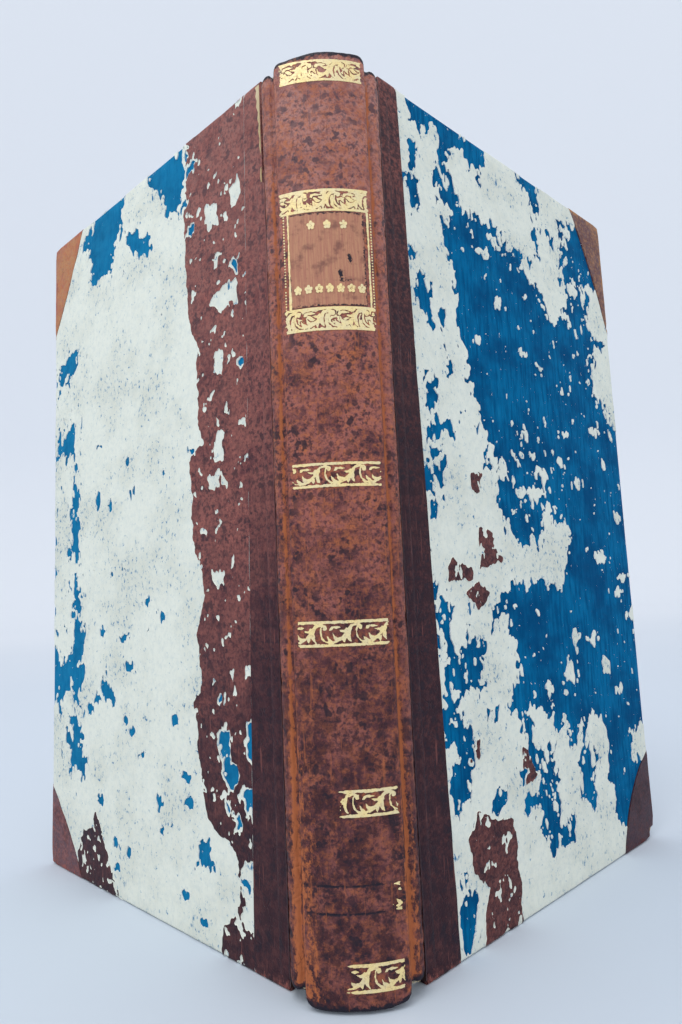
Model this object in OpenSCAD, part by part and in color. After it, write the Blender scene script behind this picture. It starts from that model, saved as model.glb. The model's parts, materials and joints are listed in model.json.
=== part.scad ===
// Small half-leather book with a smooth gilt spine, standing on its tail
// edges with both covers part open. The spine faces -Y, +Z runs from tail to
// head, and the origin lies on the ground below the middle of the whole book.
// Lengths are in millimetres and angles in degrees.

/* [Book] */
// Height of the boards from tail to head
book_h = 170; // [140:1:220]
// Width of a cover from its joint to the fore-edge
cover_w = 92; // [80:1:130]
// Thickness of the closed leaves
leaves_t = 17.6; // [15:0.2:26]
// How far the boards stand out past the leaves
square = 2.6; // [2:0.1:5]
// Angle that each cover stands open at rest, where 0 is closed
cover_open = 47.5; // [0:0.5:90]
// Hollow of the fore-edge of the leaves
fore_hollow = 1.5; // [0.5:0.1:3]
// Number of folded sections that show on the edges of the leaves
sections = 13; // [4:1:24]
// Width of the crease between two sections
crease_w = 0.12; // [0.05:0.01:0.3]
// Depth of the crease between two sections
crease_d = 0.3; // [0.1:0.05:0.6]

/* [Spine] */
// How far the middle of the spine stands out past the joints
spine_proud = 7.1; // [6.6:0.1:9]
// How far the middle of the spine panel stands out past its own sides
panel_rise = 1.7; // [1.2:0.1:2.6]
// Radius of the long edges of the panel
panel_edge_r = 0.6; // [0.3:0.1:1]
// Width of the rubbed ridge of leather between the panel and each joint
ridge_w = 2.7; // [2.4:0.1:3]
// How far the ridges stand out past the joints
ridge_proud = 4.2; // [3.8:0.1:4.4]
// Radius of the ridges
ridge_r = 1.7; // [1.5:0.1:1.9]
// Radius of the channel between the panel and each ridge
channel_r = 0.4; // [0.2:0.05:0.6]
// How far the worn ends of the ridges stay short of the ends of the panel
ridge_short = 2.1; // [1.6:0.1:4]
// Thickness of the leather over the spine
spine_leather_t = 0.8; // [0.5:0.1:1]
// Thickness of the card lining under the spine leather
lining_t = 0.6; // [0.3:0.1:0.9]
// How far the card lining stays short of the sides of the panel
lining_margin = 0.5; // [0.3:0.1:1]
// How far the leather turned in at the head and tail reaches over the spine
cap_reach = 2.6; // [2:0.1:3.5]
// Thickness of the leather turned in at the head and tail
cap_t = 0.8; // [0.5:0.1:1]
// How far the worn ends of the spine stay short of the boards
spine_short = 0.4; // [0.1:0.1:0.6]
// Radius of the worn corners at the ends of the panel and of the ridges
spine_corner_r = 1.4; // [0.8:0.1:1.5]
// Length of the split in the back joint below the head
split_len = 21; // [5:1:60]

/* [Covers] */
// Thickness of the pasteboards
board_t = 1.9; // [1.5:0.1:3]
// Thickness of the leather over the boards
leather_t = 0.5; // [0.45:0.05:0.8]
// Width of the leather strip on a board at the head
strip_head_w = 5.3; // [4:0.1:12]
// Width of the leather strip on a board at the tail
strip_tail_w = 9.4; // [4:0.1:14]
// Thickness of the blue side papers
side_paper_t = 0.2; // [0.1:0.05:0.2]
// Thickness of the torn paper that covers the blue
torn_paper_t = 0.15; // [0.1:0.01:0.15]
// Thickness of the brown glazed face that is left on the torn paper
skin_t = 0.1; // [0.05:0.01:0.1]
// Thickness of the pastedowns and of the turn-ins beside them
pastedown_t = 0.2; // [0.1:0.05:0.4]
// Width of the turned-in border that frames each pastedown
turn_in = 4; // [3:0.5:12]
// Thickness of the loose flyleaves
flyleaf_t = 0.12; // [0.08:0.01:0.3]
// Corner radius of the boards
corner_r = 1.6; // [1.2:0.1:3]
// Corner radius where the front cover is worn away at the tail
worn_corner_r = 5; // [2:0.5:10]
// Length of the leather corners along the head and tail edges
corner_w = 17; // [12:1:26]
// Length of the leather corners along the fore-edge: front head, front tail, back head, back tail
corner_h = [34, 22, 27, 20]; // [14:1:40]
// Bow of the inner edge of each leather corner, in the same order
corner_bow = [-1.5, 3, 0.5, 1]; // [-2:0.5:4]

/* [Sewing] */
// Diameter of the cords that the sections are sewn on
cord_d = 1.4; // [1:0.1:1.6]
// Number of sewing cords
cord_count = 4; // [2:1:6]
// Distance from the first cord to the tail edge, and from the last to the head
cord_margin = 24; // [15:1:40]
// Distance from the joint to the hole that a cord is laced through
lace_hole_u = 7; // [5:0.5:12]
// Length of the frayed cord end that is pasted inside the board
slip_len = 9; // [5:1:16]
// Width of the frayed cord end
slip_w = 6; // [3:0.5:10]
// Thickness of the frayed cord end
slip_t = 0.3; // [0.2:0.05:0.5]
// Diameter of the endbands
endband_d = 1.3; // [1:0.1:1.4]
// How far the endbands lie in from the backs of the leaves
endband_sink = 0.2; // [0.1:0.1:0.6]
// How far the cords and the endbands stay short of the sides of the lining
sewing_margin = 1; // [0.8:0.1:2]

/* [Gilding] */
// Height of a gilt band
band_h = 4.3; // [3:0.1:6]
// Width of the gold fillets that edge a band
fillet_w = 0.4; // [0.3:0.05:0.8]
// Width of the thin hook of the scroll
hook_w = 0.3; // [0.2:0.05:0.5]
// Width of the stem of the scroll
stem_w = 0.5; // [0.3:0.05:0.7]
// Radius of the berry at the tip of the hook
berry_r = 0.36; // [0.2:0.02:0.5]
// Length of one repeat of the scroll
scroll_pitch = 6; // [4:0.1:9]
// Relief of the gold
gilt_t = 0.08; // [0.05:0.01:0.15]
// Thickness of the title label
label_t = 0.08; // [0.05:0.01:0.15]
// Half width of the title label
label_half = 7.1; // [5:0.1:7.2]
// Gap between the title label and the gilt bands above and below it
label_gap = 0.2; // [0.1:0.1:1]
// Width of the gold line on each side of the title label
side_line_w = 0.35; // [0.2:0.05:0.6]

/* [Tears] */
// Distance between the teeth of a torn edge, in hundredths of the cover
tear_step = 1.8; // [1:0.1:4]
// Greatest throw of the teeth, in hundredths of the cover's width and height
tear_jag = [0.65, 0.35]; // [0:0.05:1]

/* [Clearances] */
// Gap between the fixed spine and each cover along the joint
joint_gap = 0.3; // [0.25:0.05:0.5]
// Gap between a closed cover and its flyleaf
close_gap = 0.2; // [0.1:0.05:0.6]
// Gap that paste fills between curved layers of the spine
paste_gap = 0.05; // [0.03:0.01:0.1]
// Gap round the cords in their grooves and holes
cord_gap = 0.04; // [0.02:0.01:0.1]
// Angle left free at each end of a cord in its groove
cord_end_angle = 0.3; // [0.1:0.1:1]

/* [Hidden] */
$fn = 64;
eps = 0.01;
curve_steps = 7;

// Depths below the leather face of a cover
core_in = leather_t;
core_out = leather_t + board_t;
cover_in = core_out + pastedown_t;
paper_in = leather_t - side_paper_t;
torn_in = paper_in - torn_paper_t;
skin_in = torn_in - skin_t;

// Half distance between the joints, and the line that both joints lie on
hinge_x = leaves_t / 2 + flyleaf_t + close_gap + cover_in;
block_d = cover_w - square;
hinge_y = -(block_d - spine_proud - gilt_t) / 2;

// Section of the spine, measured from the line between the joints
spine_side = hinge_x - joint_gap;
panel_half = spine_side - ridge_w;
panel_r = (pow(panel_half, 2) + pow(panel_rise, 2)) / (2 * panel_rise);
panel_cy = panel_r - spine_proud;
edge_x = panel_half - panel_edge_r;
edge_y = panel_cy - sqrt(pow(panel_r - panel_edge_r, 2) - pow(edge_x, 2));
tangent_x = edge_x * panel_r / (panel_r - panel_edge_r);
ridge_x = spine_side - ridge_r;
ridge_y = ridge_r - ridge_proud;
channel_x = panel_half + channel_r / 4;
channel_y = channel_r / 2 - ridge_proud;
shoulder_r = ridge_r - spine_leather_t;
lining_half = panel_half - lining_margin;
lining_r = panel_r - spine_leather_t - paste_gap;
back_r = lining_r - lining_t - paste_gap;
shoulder_y = -0.1;
spine_z0 = spine_short;
spine_z1 = book_h - spine_short;

// Leaves
fore_r = (pow(leaves_t / 2, 2) + pow(fore_hollow, 2)) / (2 * fore_hollow);
fore_cy = block_d - fore_hollow + fore_r;
leaves_z0 = square;
leaves_z1 = book_h - square;

// Sewing
cord_r = cord_d / 2;
cord_pitch = (book_h - 2 * cord_margin) / (cord_count - 1);
cord_zs = [for (i = [0 : cord_count - 1]) cord_margin + i * cord_pitch];
cord_line_r = back_r - cord_r;
cord_half_angle = asin((lining_half - sewing_margin) / cord_line_r);
endband_r = endband_d / 2;
endband_line_r = back_r - endband_r - endband_sink;
endband_half_angle = asin((lining_half - sewing_margin) / endband_line_r);

// Gilt bands: height of the lower edge as a part of the book's height, and
// the two ends in x between which gold is left
band_at = [[0.961, -7.5, 7.9], [0.807, -8.3, 7.9], [0.673, -7.9, 8.3], [0.505, -7.7, 7.9],
           [0.343, -7.8, 7.9], [0.179, -1.7, 7.9], [0.090, 6.2, 7.7], [0.020, -1.6, 7.6]];
label_z0 = band_at[2][0] * book_h + band_h + label_gap;
label_z1 = band_at[1][0] * book_h - label_gap;

// One repeat of the leafy scroll: x in parts of the pitch, z in parts of the
// band's half height between its fillets. Each curve is pulled by four points
berry_at = [0, 0.55];
hook_curve = [[0.02, 0.7], [-0.15, 1.1], [-0.2, -0.55], [0.15, -0.85]];
stem_curve = [[0.15, -0.85], [0.53, -0.85], [0.57, 0.75], [0.9, 0.95]];
leaf_curves = [
    [[[0.32, -0.8], [0.2, -0.5], [0.2, -0.2], [0.22, 0.1]],
     [[0.22, 0.1], [0.28, -0.3], [0.38, -0.35], [0.53, -0.3]]],
    [[[0.35, 0.4], [0.48, 0.1], [0.56, 0.1], [0.66, 0.1]],
     [[0.66, 0.1], [0.68, 0.5], [0.5, 0.6], [0.35, 0.4]]],
    [[[0.63, 0.1], [0.6, -0.5], [0.7, -0.7], [0.78, -0.95]],
     [[0.78, -0.95], [0.72, -0.4], [0.75, 0.3], [0.78, 0.75]]]];

// Torn paper: outlines on a cover, with u from the joint in hundredths of its
// width and z from the tail in hundredths of its height
front_cream = [
    [[4, 101], [9, 101], [11, 93], [12, 97], [17, 98], [20, 94], [18, 89], [23, 86], [21, 82], [24, 78],
     [22, 74], [24, 70], [25, 65], [29, 63], [30, 58], [34, 54], [36, 46], [45, 45], [52, 46], [58, 49],
     [63, 49], [67, 47], [65, 43], [57, 39], [49, 40], [37, 40], [34, 36], [37, 33], [37, 28], [32, 25],
     [41, 22], [54, 22], [60, 18], [68, 21], [77, 18], [76, 12], [79, 6], [85, 1], [87, -1], [4, -1]],
    [[22, 94], [28, 98], [36, 95], [42, 101], [54, 99], [62, 93], [60, 89], [54, 86], [45, 85], [38, 89],
     [30, 89], [25, 89]],
    [[65, 101], [83, 101], [84, 98], [76, 92], [73, 86], [77, 81], [72, 80], [65, 77], [62, 81], [59, 86],
     [63, 92]],
    [[87, 88], [93, 88], [98, 86], [99, 82], [103, 78], [103, 61], [97, 64], [91, 68], [89, 75], [87, 82]],
    [[91, 16], [98, 18], [103, 16], [103, 12], [96, 12], [91, 13]]];
front_blue = [
    [[10, 65], [14, 64], [14, 60], [12, 57], [9, 59]],
    [[2, 40], [13, 39], [14, 34], [22, 32], [23, 28], [16, 26], [15, 21], [2, 22], [2, 33]],
    [[12, 8], [15, 6], [16, 2], [13, 1]],
    [[40, 18], [48, 16], [51, 11], [57, 7], [52, 5], [45, 8], [41, 12]],
    [[61, 14], [65, 16], [68, 13], [67, 8], [63, 9]],
    [[28, 37], [34, 38], [35, 36], [30, 35]]];
front_brown = [
    [[24, 54], [28, 54], [27, 52], [24, 51]],
    [[26, 46], [30, 46], [30, 44], [34, 43], [28, 42], [25, 42]],
    [[15, 43], [22, 42], [22, 41], [14, 41]],
    [[20, 39], [24, 40], [28, 39], [24, 37]],
    [[16, 22], [21, 22], [20, 20], [15, 20]],
    [[37, 19], [41, 19], [41, 16], [37, 15]],
    [[15, 12], [18, 14], [23, 13], [30, 12], [32, 7], [32, -1], [18, -1], [20, 4], [22, 6], [16, 8]]];

back_blue = [
    [[60, 102], [79, 101], [82, 97], [76, 94], [75, 89], [65, 89], [63, 92], [60, 95]],
    [[56, 94], [52, 93], [46, 89], [51, 89], [55, 92]],
    [[47, 102], [45, 98], [39, 95], [36, 92], [32, 89], [29, 94], [29, 98], [33, 102]],
    [[103, 81], [98, 77], [93, 79], [87, 81], [86, 79], [91, 75], [100, 74], [103, 75]],
    [[97, 67], [91, 66], [87, 69], [84, 68], [86, 65], [86, 61], [89, 63], [96, 65]],
    [[103, 63], [99, 61], [98, 58], [103, 57]],
    [[87, 59], [85, 59], [84, 47], [83, 41], [83, 26], [82, 15], [87, 15], [90, 19], [87, 24], [89, 27],
     [96, 24], [103, 23], [103, 34], [99, 35], [96, 30], [88, 30], [87, 36], [88, 41], [86, 49]],
    [[70, 29], [66, 27], [64, 26], [70, 26]],
    [[29, 12], [25, 11], [24, 9], [29, 8]],
    [[21, 25], [16, 25], [17, 22], [14, 19], [17, 19], [21, 22]],
    [[10, 25], [2, 25], [2, 22], [11, 22]],
    [[12, 18], [2, 19], [2, 14], [11, 14], [11, 16]],
    [[13, 9], [2, 9], [2, 6], [12, 6]]];
back_brown = [
    [[4, 101], [28, 101], [28, 94], [29, 88], [29, 82], [28, 75], [25, 71], [25, 62], [24, 59], [29, 57],
     [28, 50], [27, 46], [24, 40], [27, 35], [26, 29], [28, 26], [27, 21], [25, 14], [17, 12], [16, 6],
     [20, 3], [21, -1], [4, -1]],
    [[59, -1], [67, 4], [74, 10], [76, 8], [80, 7], [84, 4], [83, -1]]];
back_bare = [
    [[16, 88], [21, 89], [22, 86], [16, 86]],
    [[9, 90], [12, 89], [10, 87], [8, 88]],
    [[16, 82], [20, 82], [18, 79], [16, 80]],
    [[11, 77], [16, 78], [21, 76], [15, 74], [11, 75]],
    [[15, 69], [18, 69], [18, 67], [16, 66]],
    [[16, 59], [18, 59], [20, 57], [16, 57]],
    [[18, 55], [22, 54], [22, 53], [17, 53]],
    [[17, 42], [21, 42], [21, 41], [17, 41]],
    [[2, 12], [11, 12], [13, 10], [13, 5], [9, 4], [2, 4]]];

function on_cover(p) = [p[0] * cover_w, p[1] * book_h] / 100;

// An outline with every side broken up as torn paper is
function ragged(pts, seed) = [
    for (i = [0 : len(pts) - 1])
        let (a = pts[i], b = pts[(i + 1) % len(pts)],
             n = max(1, round(norm(b - a) / tear_step)), r = rands(-1, 1, 2 * n, seed + i))
            for (k = [0 : n - 1])
                on_cover(a + (b - a) * k / n + [r[2 * k] * tear_jag[0], r[2 * k + 1] * tear_jag[1]])];

module torn_shapes(outlines, seed) {
    for (i = [0 : len(outlines) - 1]) polygon(ragged(outlines[i], seed + 100 * i));
}

// A cubic curve through the first and last of four points
function curve(p) = [
    for (i = [0 : curve_steps])
        let (t = i / curve_steps, s = 1 - t)
            pow(s, 3) * p[0] + 3 * s * s * t * p[1] + 3 * s * t * t * p[2] + pow(t, 3) * p[3]];

// The points of a path moved sideways
function beside(path, off) = [
    for (i = [0 : len(path) - 1])
        let (along = path[min(i + 1, len(path) - 1)] - path[max(i - 1, 0)])
            path[i] + off * [-along[1], along[0]] / norm(along)];

function backwards(path) = [for (i = [len(path) - 1 : -1 : 0]) path[i]];

module ribbon(path, w) { polygon(concat(beside(path, w / 2), backwards(beside(path, -w / 2)))); }

// Moves a piece drawn from the joints' line into the book's frame
module at_spine() { translate([0, hinge_y, 0]) children(); }

// A cover is drawn flat: x from the joint, y into the cover, z from the tail
module at_front() { translate([hinge_x, hinge_y, 0]) rotate([0, 0, 90 - cover_open]) children(); }

module at_back() { mirror([1, 0, 0]) at_front() children(); }

// A shape drawn in u and z, made solid between two depths of a cover
module slab(d0, d1) { translate([0, d1, 0]) rotate([90, 0, 0]) linear_extrude(d1 - d0) children(); }

// What is cut off a square corner to round it, with the arc's centre at 0, 0
module corner_waste(r) {
    difference() {
        square(r + 1);
        circle(r);
    }
}

// Outline of a cover with its head, tail and fore-edge taken in by an edge
module plate(edge, tail_r) {
    w = cover_w - edge;
    r_head = corner_r - edge;
    r_tail = tail_r - edge;
    difference() {
        translate([joint_gap, edge]) square([w - joint_gap, book_h - 2 * edge]);
        translate([w - r_head, book_h - edge - r_head]) corner_waste(r_head);
        translate([w - r_tail, edge + r_tail]) mirror([0, 1]) corner_waste(r_tail);
    }
}

module pastedown_shape() {
    translate([joint_gap, turn_in]) square([cover_w - turn_in - joint_gap, book_h - 2 * turn_in]);
}

module strip_shape() {
    polygon([[-1, -1], [strip_tail_w, -1], [strip_head_w, book_h + 1], [-1, book_h + 1]]);
}

// Tail corner: the inner edge runs from the tail edge to the fore-edge in a bow
module corner_shape(h, bow) {
    steps = 10;
    side = norm([corner_w, h]);
    normal = [-h, corner_w] / side;
    edge = [for (i = [0 : steps]) let (t = i / steps)
        [cover_w - corner_w, 0] + t * [corner_w, h] + 4 * bow * t * (1 - t) * normal];
    polygon(concat([[cover_w + 1, -1], [cover_w - corner_w, -1]], edge, [[cover_w + 1, h]]));
}

module head_corner_shape(h, bow) { translate([0, book_h]) mirror([0, 1]) corner_shape(h, bow); }

// What wraps a board: its outer face, its edges and the turned-in border inside
module covering(edge, depth, tail_r) {
    difference() {
        slab(depth, cover_in) plate(edge, tail_r);
        slab(core_in, core_out) plate(leather_t, tail_r);
        slab(core_out - eps, cover_in + eps) pastedown_shape();
    }
}

module board(tail_r) {
    difference() {
        slab(core_in, core_out) plate(leather_t, tail_r);
        for (z = cord_zs) translate([0, 0, z]) cord_slip(cord_gap, eps);
    }
}

// One laced-in cord end: a run under the leather, a plug and a frayed fan
module cord_slip(gap, over) {
    slab(core_in - over, core_in + cord_r + gap)
        translate([joint_gap - over, -cord_r - gap])
            square([lace_hole_u - joint_gap + over, cord_d + 2 * gap]);
    slab(core_in - over, core_out + over)
        translate([lace_hole_u, 0]) circle(cord_r + gap);
    slab(core_out - slip_t, core_out + over)
        polygon([[lace_hole_u, -cord_r - gap], [lace_hole_u + slip_len + gap, -slip_w / 2 - gap],
                 [lace_hole_u + slip_len + gap, slip_w / 2 + gap], [lace_hole_u, cord_r + gap]]);
}

module cord_slips() { for (z = cord_zs) translate([0, 0, z]) cord_slip(0, 0); }

module leather_strip(tail_r) {
    intersection() {
        covering(0, 0, tail_r);
        slab(-1, cover_in + 1) strip_shape();
    }
}

module tail_corner(i, tail_r) {
    intersection() {
        covering(0, 0, tail_r);
        slab(-1, cover_in + 1) corner_shape(corner_h[i], corner_bow[i]);
    }
}

module head_corner(i, tail_r) {
    intersection() {
        covering(0, 0, tail_r);
        slab(-1, cover_in + 1) head_corner_shape(corner_h[i], corner_bow[i]);
    }
}

// The part of a cover that the side paper takes, given its first corner's place
module leather_shapes(i) {
    strip_shape();
    head_corner_shape(corner_h[i], corner_bow[i]);
    corner_shape(corner_h[i + 1], corner_bow[i + 1]);
}

module side_paper(i, tail_r) {
    difference() {
        covering(leather_t - side_paper_t, paper_in, tail_r);
        slab(-1, cover_in + 1) leather_shapes(i);
    }
}

module face_shape(i, tail_r) {
    difference() {
        plate(leather_t - side_paper_t, tail_r);
        leather_shapes(i);
    }
}

module front_torn_shape() {
    difference() {
        intersection() {
            face_shape(0, worn_corner_r);
            torn_shapes(front_cream, 11);
        }
        torn_shapes(front_blue, 1100);
    }
}

module back_torn_shape() {
    difference() {
        face_shape(2, corner_r);
        torn_shapes(back_blue, 2100);
    }
}

module front_skin_shape() {
    intersection() {
        front_torn_shape();
        torn_shapes(front_brown, 3100);
    }
}

module back_skin_shape() {
    intersection() {
        back_torn_shape();
        difference() {
            torn_shapes(back_brown, 4100);
            torn_shapes(back_bare, 5100);
        }
    }
}

// Outer section of the spine leather: rounded panel, channels and ridges
module spine_outline() {
    difference() {
        union() {
            intersection() {
                translate([0, panel_cy]) circle(panel_r, $fn = 160);
                translate([-tangent_x, -spine_proud - 1]) square([2 * tangent_x, spine_proud + 1]);
            }
            for (s = [-1, 1]) translate([s * edge_x, edge_y]) circle(panel_edge_r);
            translate([-panel_half, edge_y]) square([2 * panel_half, -edge_y]);
            for (s = [-1, 1]) translate([s * ridge_x, ridge_y]) circle(ridge_r);
            translate([-spine_side, ridge_y]) square([2 * spine_side, -ridge_y]);
        }
        for (s = [-1, 1]) translate([s * channel_x, channel_y]) circle(channel_r);
    }
}

// What the spine leather is wrapped round, with the fit taken in by a gap
module spine_core(gap) {
    intersection() {
        translate([0, panel_cy]) circle(panel_r - spine_leather_t - gap, $fn = 160);
        translate([-lining_half + gap, -spine_proud]) square([2 * (lining_half - gap), spine_proud]);
    }
    shoulders(gap, 1);
}

// Backed shoulders of the leaves, which fill the ridges of the leather
module shoulders(gap, top) {
    half = ridge_x + shoulder_r - gap;
    for (s = [-1, 1]) translate([s * ridge_x, ridge_y]) circle(shoulder_r - gap);
    translate([-half, ridge_y]) square([2 * half, top - ridge_y]);
}

module leaves_shape() {
    intersection() {
        translate([0, panel_cy]) circle(back_r, $fn = 160);
        translate([-lining_half + paste_gap, -spine_proud])
            square([2 * (lining_half - paste_gap), spine_proud - 1]);
    }
    shoulders(paste_gap, shoulder_y);
    difference() {
        translate([-leaves_t / 2, -1]) square([leaves_t, block_d + 1]);
        translate([0, fore_cy]) circle(fore_r, $fn = 160);
    }
}

// Creases between the sections on the head, the tail and the fore-edge
module section_creases() {
    for (i = [1 : sections - 1]) {
        x = -leaves_t / 2 + i * leaves_t / sections;
        y = fore_cy - sqrt(pow(fore_r, 2) - pow(x, 2));
        translate([x - crease_w / 2, 0, leaves_z0 - 1]) cube([crease_w, block_d, 1 + crease_d]);
        translate([x - crease_w / 2, 0, leaves_z1 - crease_d]) cube([crease_w, block_d, 1 + crease_d]);
        translate([x - crease_w / 2, y - crease_d, leaves_z0 - 1])
            cube([crease_w, 2 * fore_hollow, leaves_z1 - leaves_z0 + 2]);
    }
}

// Part of a ring round the spine's axis of curvature, facing -Y
module spine_ring(r, half_angle) {
    translate([0, panel_cy, 0]) rotate([0, 0, 270 - half_angle])
        rotate_extrude(angle = 2 * half_angle) translate([r, 0]) children();
}

module text_block() {
    color("wheat") at_spine() difference() {
        translate([0, 0, leaves_z0]) linear_extrude(leaves_z1 - leaves_z0) leaves_shape();
        section_creases();
        for (z = cord_zs) translate([0, 0, z]) spine_ring(cord_line_r, cord_half_angle)
            translate([-cord_r - cord_gap, -cord_r - cord_gap]) square(cord_d + 2 * cord_gap + 1);
    }
}

module flyleaf() {
    translate([leaves_t / 2, 0, leaves_z0]) cube([flyleaf_t, block_d, leaves_z1 - leaves_z0]);
}

module front_flyleaf() { color("oldlace") at_spine() flyleaf(); }

module back_flyleaf() { color("oldlace") at_spine() mirror([1, 0, 0]) flyleaf(); }

module sewing_cords() {
    color("tan") at_spine() for (z = cord_zs) translate([0, 0, z])
        spine_ring(cord_line_r, cord_half_angle - cord_end_angle) circle(cord_r, $fn = 24);
}

module endband(z) {
    translate([0, 0, z]) spine_ring(endband_line_r, endband_half_angle) circle(endband_r, $fn = 24);
}

module head_endband() { color("lightsteelblue") at_spine() endband(leaves_z1 + endband_r); }

module tail_endband() { color("lightsteelblue") at_spine() endband(leaves_z0 - endband_r); }

module spine_lining() {
    z0 = spine_z0 + cap_t + paste_gap;
    color("gray") at_spine() translate([0, 0, z0]) linear_extrude(book_h - 2 * z0) intersection() {
        translate([0, panel_cy]) difference() {
            circle(lining_r, $fn = 160);
            circle(lining_r - lining_t, $fn = 160);
        }
        translate([-lining_half + paste_gap, -spine_proud])
            square([2 * (lining_half - paste_gap), spine_proud]);
    }
}

// Front view of the spine leather: the ridges end short of the panel, and all
// the corners are worn round
module spine_front() {
    half_h = (spine_z1 - spine_z0) / 2;
    r = spine_corner_r - eps;
    translate([0, spine_z0 + half_h]) difference() {
        square([2 * spine_side + 2, 2 * half_h], center = true);
        for (sx = [-1, 1], sz = [-1, 1]) scale([sx, sz]) {
            translate([panel_half, half_h - ridge_short]) square([ridge_w + 2, ridge_short + 1]);
            translate([panel_half - r, half_h - r]) corner_waste(spine_corner_r);
            translate([spine_side - r, half_h - ridge_short - r]) corner_waste(spine_corner_r);
        }
    }
}

module spine_leather() {
    color("sienna") at_spine() intersection() {
        difference() {
            translate([0, 0, spine_z0]) linear_extrude(spine_z1 - spine_z0) spine_outline();
            translate([0, 0, spine_z0 + cap_t]) linear_extrude(spine_z1 - spine_z0 - 2 * cap_t) spine_core(0);
            translate([0, panel_cy, -1]) cylinder(h = book_h + 2, r = panel_r - cap_reach, $fn = 160);
            translate([-spine_side - 1, ridge_y, spine_z1 - split_len])
                cube([1 + spine_leather_t + eps, 1 - ridge_y, split_len + 1]);
        }
        translate([0, 1, 0]) rotate([90, 0, 0]) linear_extrude(spine_proud + 2) spine_front();
    }
}

// A layer on the face of the spine panel, seen from the front as its children
module on_panel(t) {
    intersection() {
        translate([0, panel_cy, 0]) difference() {
            cylinder(h = book_h, r = panel_r + t, $fn = 160);
            translate([0, 0, -1]) cylinder(h = book_h + 2, r = panel_r, $fn = 160);
        }
        translate([0, -1, 0]) rotate([90, 0, 0]) linear_extrude(spine_proud + 2) children();
    }
}

module title_label() {
    color("peru") at_spine() on_panel(label_t)
        translate([-label_half, label_z0]) square([2 * label_half, label_z1 - label_z0]);
}

// Points of the scroll, moved into a band from its middle
function in_band(path) = [for (p = path) [p[0] * scroll_pitch, p[1] * (band_h / 2 - fillet_w)]];

// One repeat of the scroll: a hook with its berry, the stem and three leaves
module scroll_repeat() {
    translate(in_band([berry_at])[0]) circle(berry_r, $fn = 20);
    ribbon(in_band(curve(hook_curve)), hook_w);
    ribbon(in_band(curve(stem_curve)), stem_w);
    for (leaf = leaf_curves) polygon(in_band(concat(curve(leaf[0]), curve(leaf[1]))));
}

module gilt_band(x0, x1) {
    repeats = ceil(panel_half / scroll_pitch);
    for (z = [0, band_h - fillet_w]) translate([x0, z]) square([x1 - x0, fillet_w]);
    intersection() {
        translate([x0, 0]) square([x1 - x0, band_h]);
        for (i = [-repeats - 1 : repeats])
            translate([(i + 0.5) * scroll_pitch, band_h / 2]) scroll_repeat();
    }
}

module gilt_bands() {
    color("gold") at_spine() on_panel(gilt_t) {
        for (b = band_at) translate([0, b[0] * book_h]) gilt_band(b[1], b[2]);
        for (x = [-label_half - paste_gap - side_line_w, label_half + paste_gap])
            translate([x, band_at[2][0] * book_h + band_h - eps])
                square([side_line_w, label_z1 - label_z0 + 2 * (label_gap + eps)]);
    }
}

module front_board() { color("burlywood") at_front() board(worn_corner_r); }
module front_cord_slips() { color("tan") at_front() cord_slips(); }
module front_leather_strip() { color("maroon") at_front() leather_strip(worn_corner_r); }
module front_head_corner() { color("maroon") at_front() head_corner(0, worn_corner_r); }
module front_tail_corner() { color("maroon") at_front() tail_corner(1, worn_corner_r); }
module front_side_paper() { color("steelblue") at_front() side_paper(0, worn_corner_r); }

module front_torn_paper() {
    at_front() {
        color("ivory") slab(torn_in, paper_in) front_torn_shape();
        color("saddlebrown") slab(skin_in, torn_in) front_skin_shape();
    }
}

module front_pastedown() { color("oldlace") at_front() slab(core_out, cover_in) pastedown_shape(); }

module back_board() { color("burlywood") at_back() board(corner_r); }
module back_cord_slips() { color("tan") at_back() cord_slips(); }
module back_leather_strip() { color("maroon") at_back() leather_strip(corner_r); }
module back_head_corner() { color("peru") at_back() head_corner(2, corner_r); }
module back_tail_corner() { color("maroon") at_back() tail_corner(3, corner_r); }
module back_side_paper() { color("steelblue") at_back() side_paper(2, corner_r); }

module back_torn_paper() {
    at_back() {
        color("ivory") slab(torn_in, paper_in) back_torn_shape();
        color("saddlebrown") slab(skin_in, torn_in) back_skin_shape();
    }
}

module back_pastedown() { color("oldlace") at_back() slab(core_out, cover_in) pastedown_shape(); }

text_block();
front_flyleaf();
back_flyleaf();
sewing_cords();
head_endband();
tail_endband();
spine_lining();
spine_leather();
title_label();
gilt_bands();
front_board();
front_cord_slips();
front_leather_strip();
front_head_corner();
front_tail_corner();
front_side_paper();
front_torn_paper();
front_pastedown();
back_board();
back_cord_slips();
back_leather_strip();
back_head_corner();
back_tail_corner();
back_side_paper();
back_torn_paper();
back_pastedown();
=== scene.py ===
# Antique half-leather book, standing on its tail with both covers part open.
# The solids of the frame hold the sizes, and this script gives them their
# finish. Shapes are worked out in millimetres and stored in metres.
import json
import math

import bpy
import numpy as np
from bpy.props import FloatProperty, FloatVectorProperty, IntProperty, PointerProperty
from mathutils import Matrix, Vector
from mathutils.geometry import delaunay_2d_cdt


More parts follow.
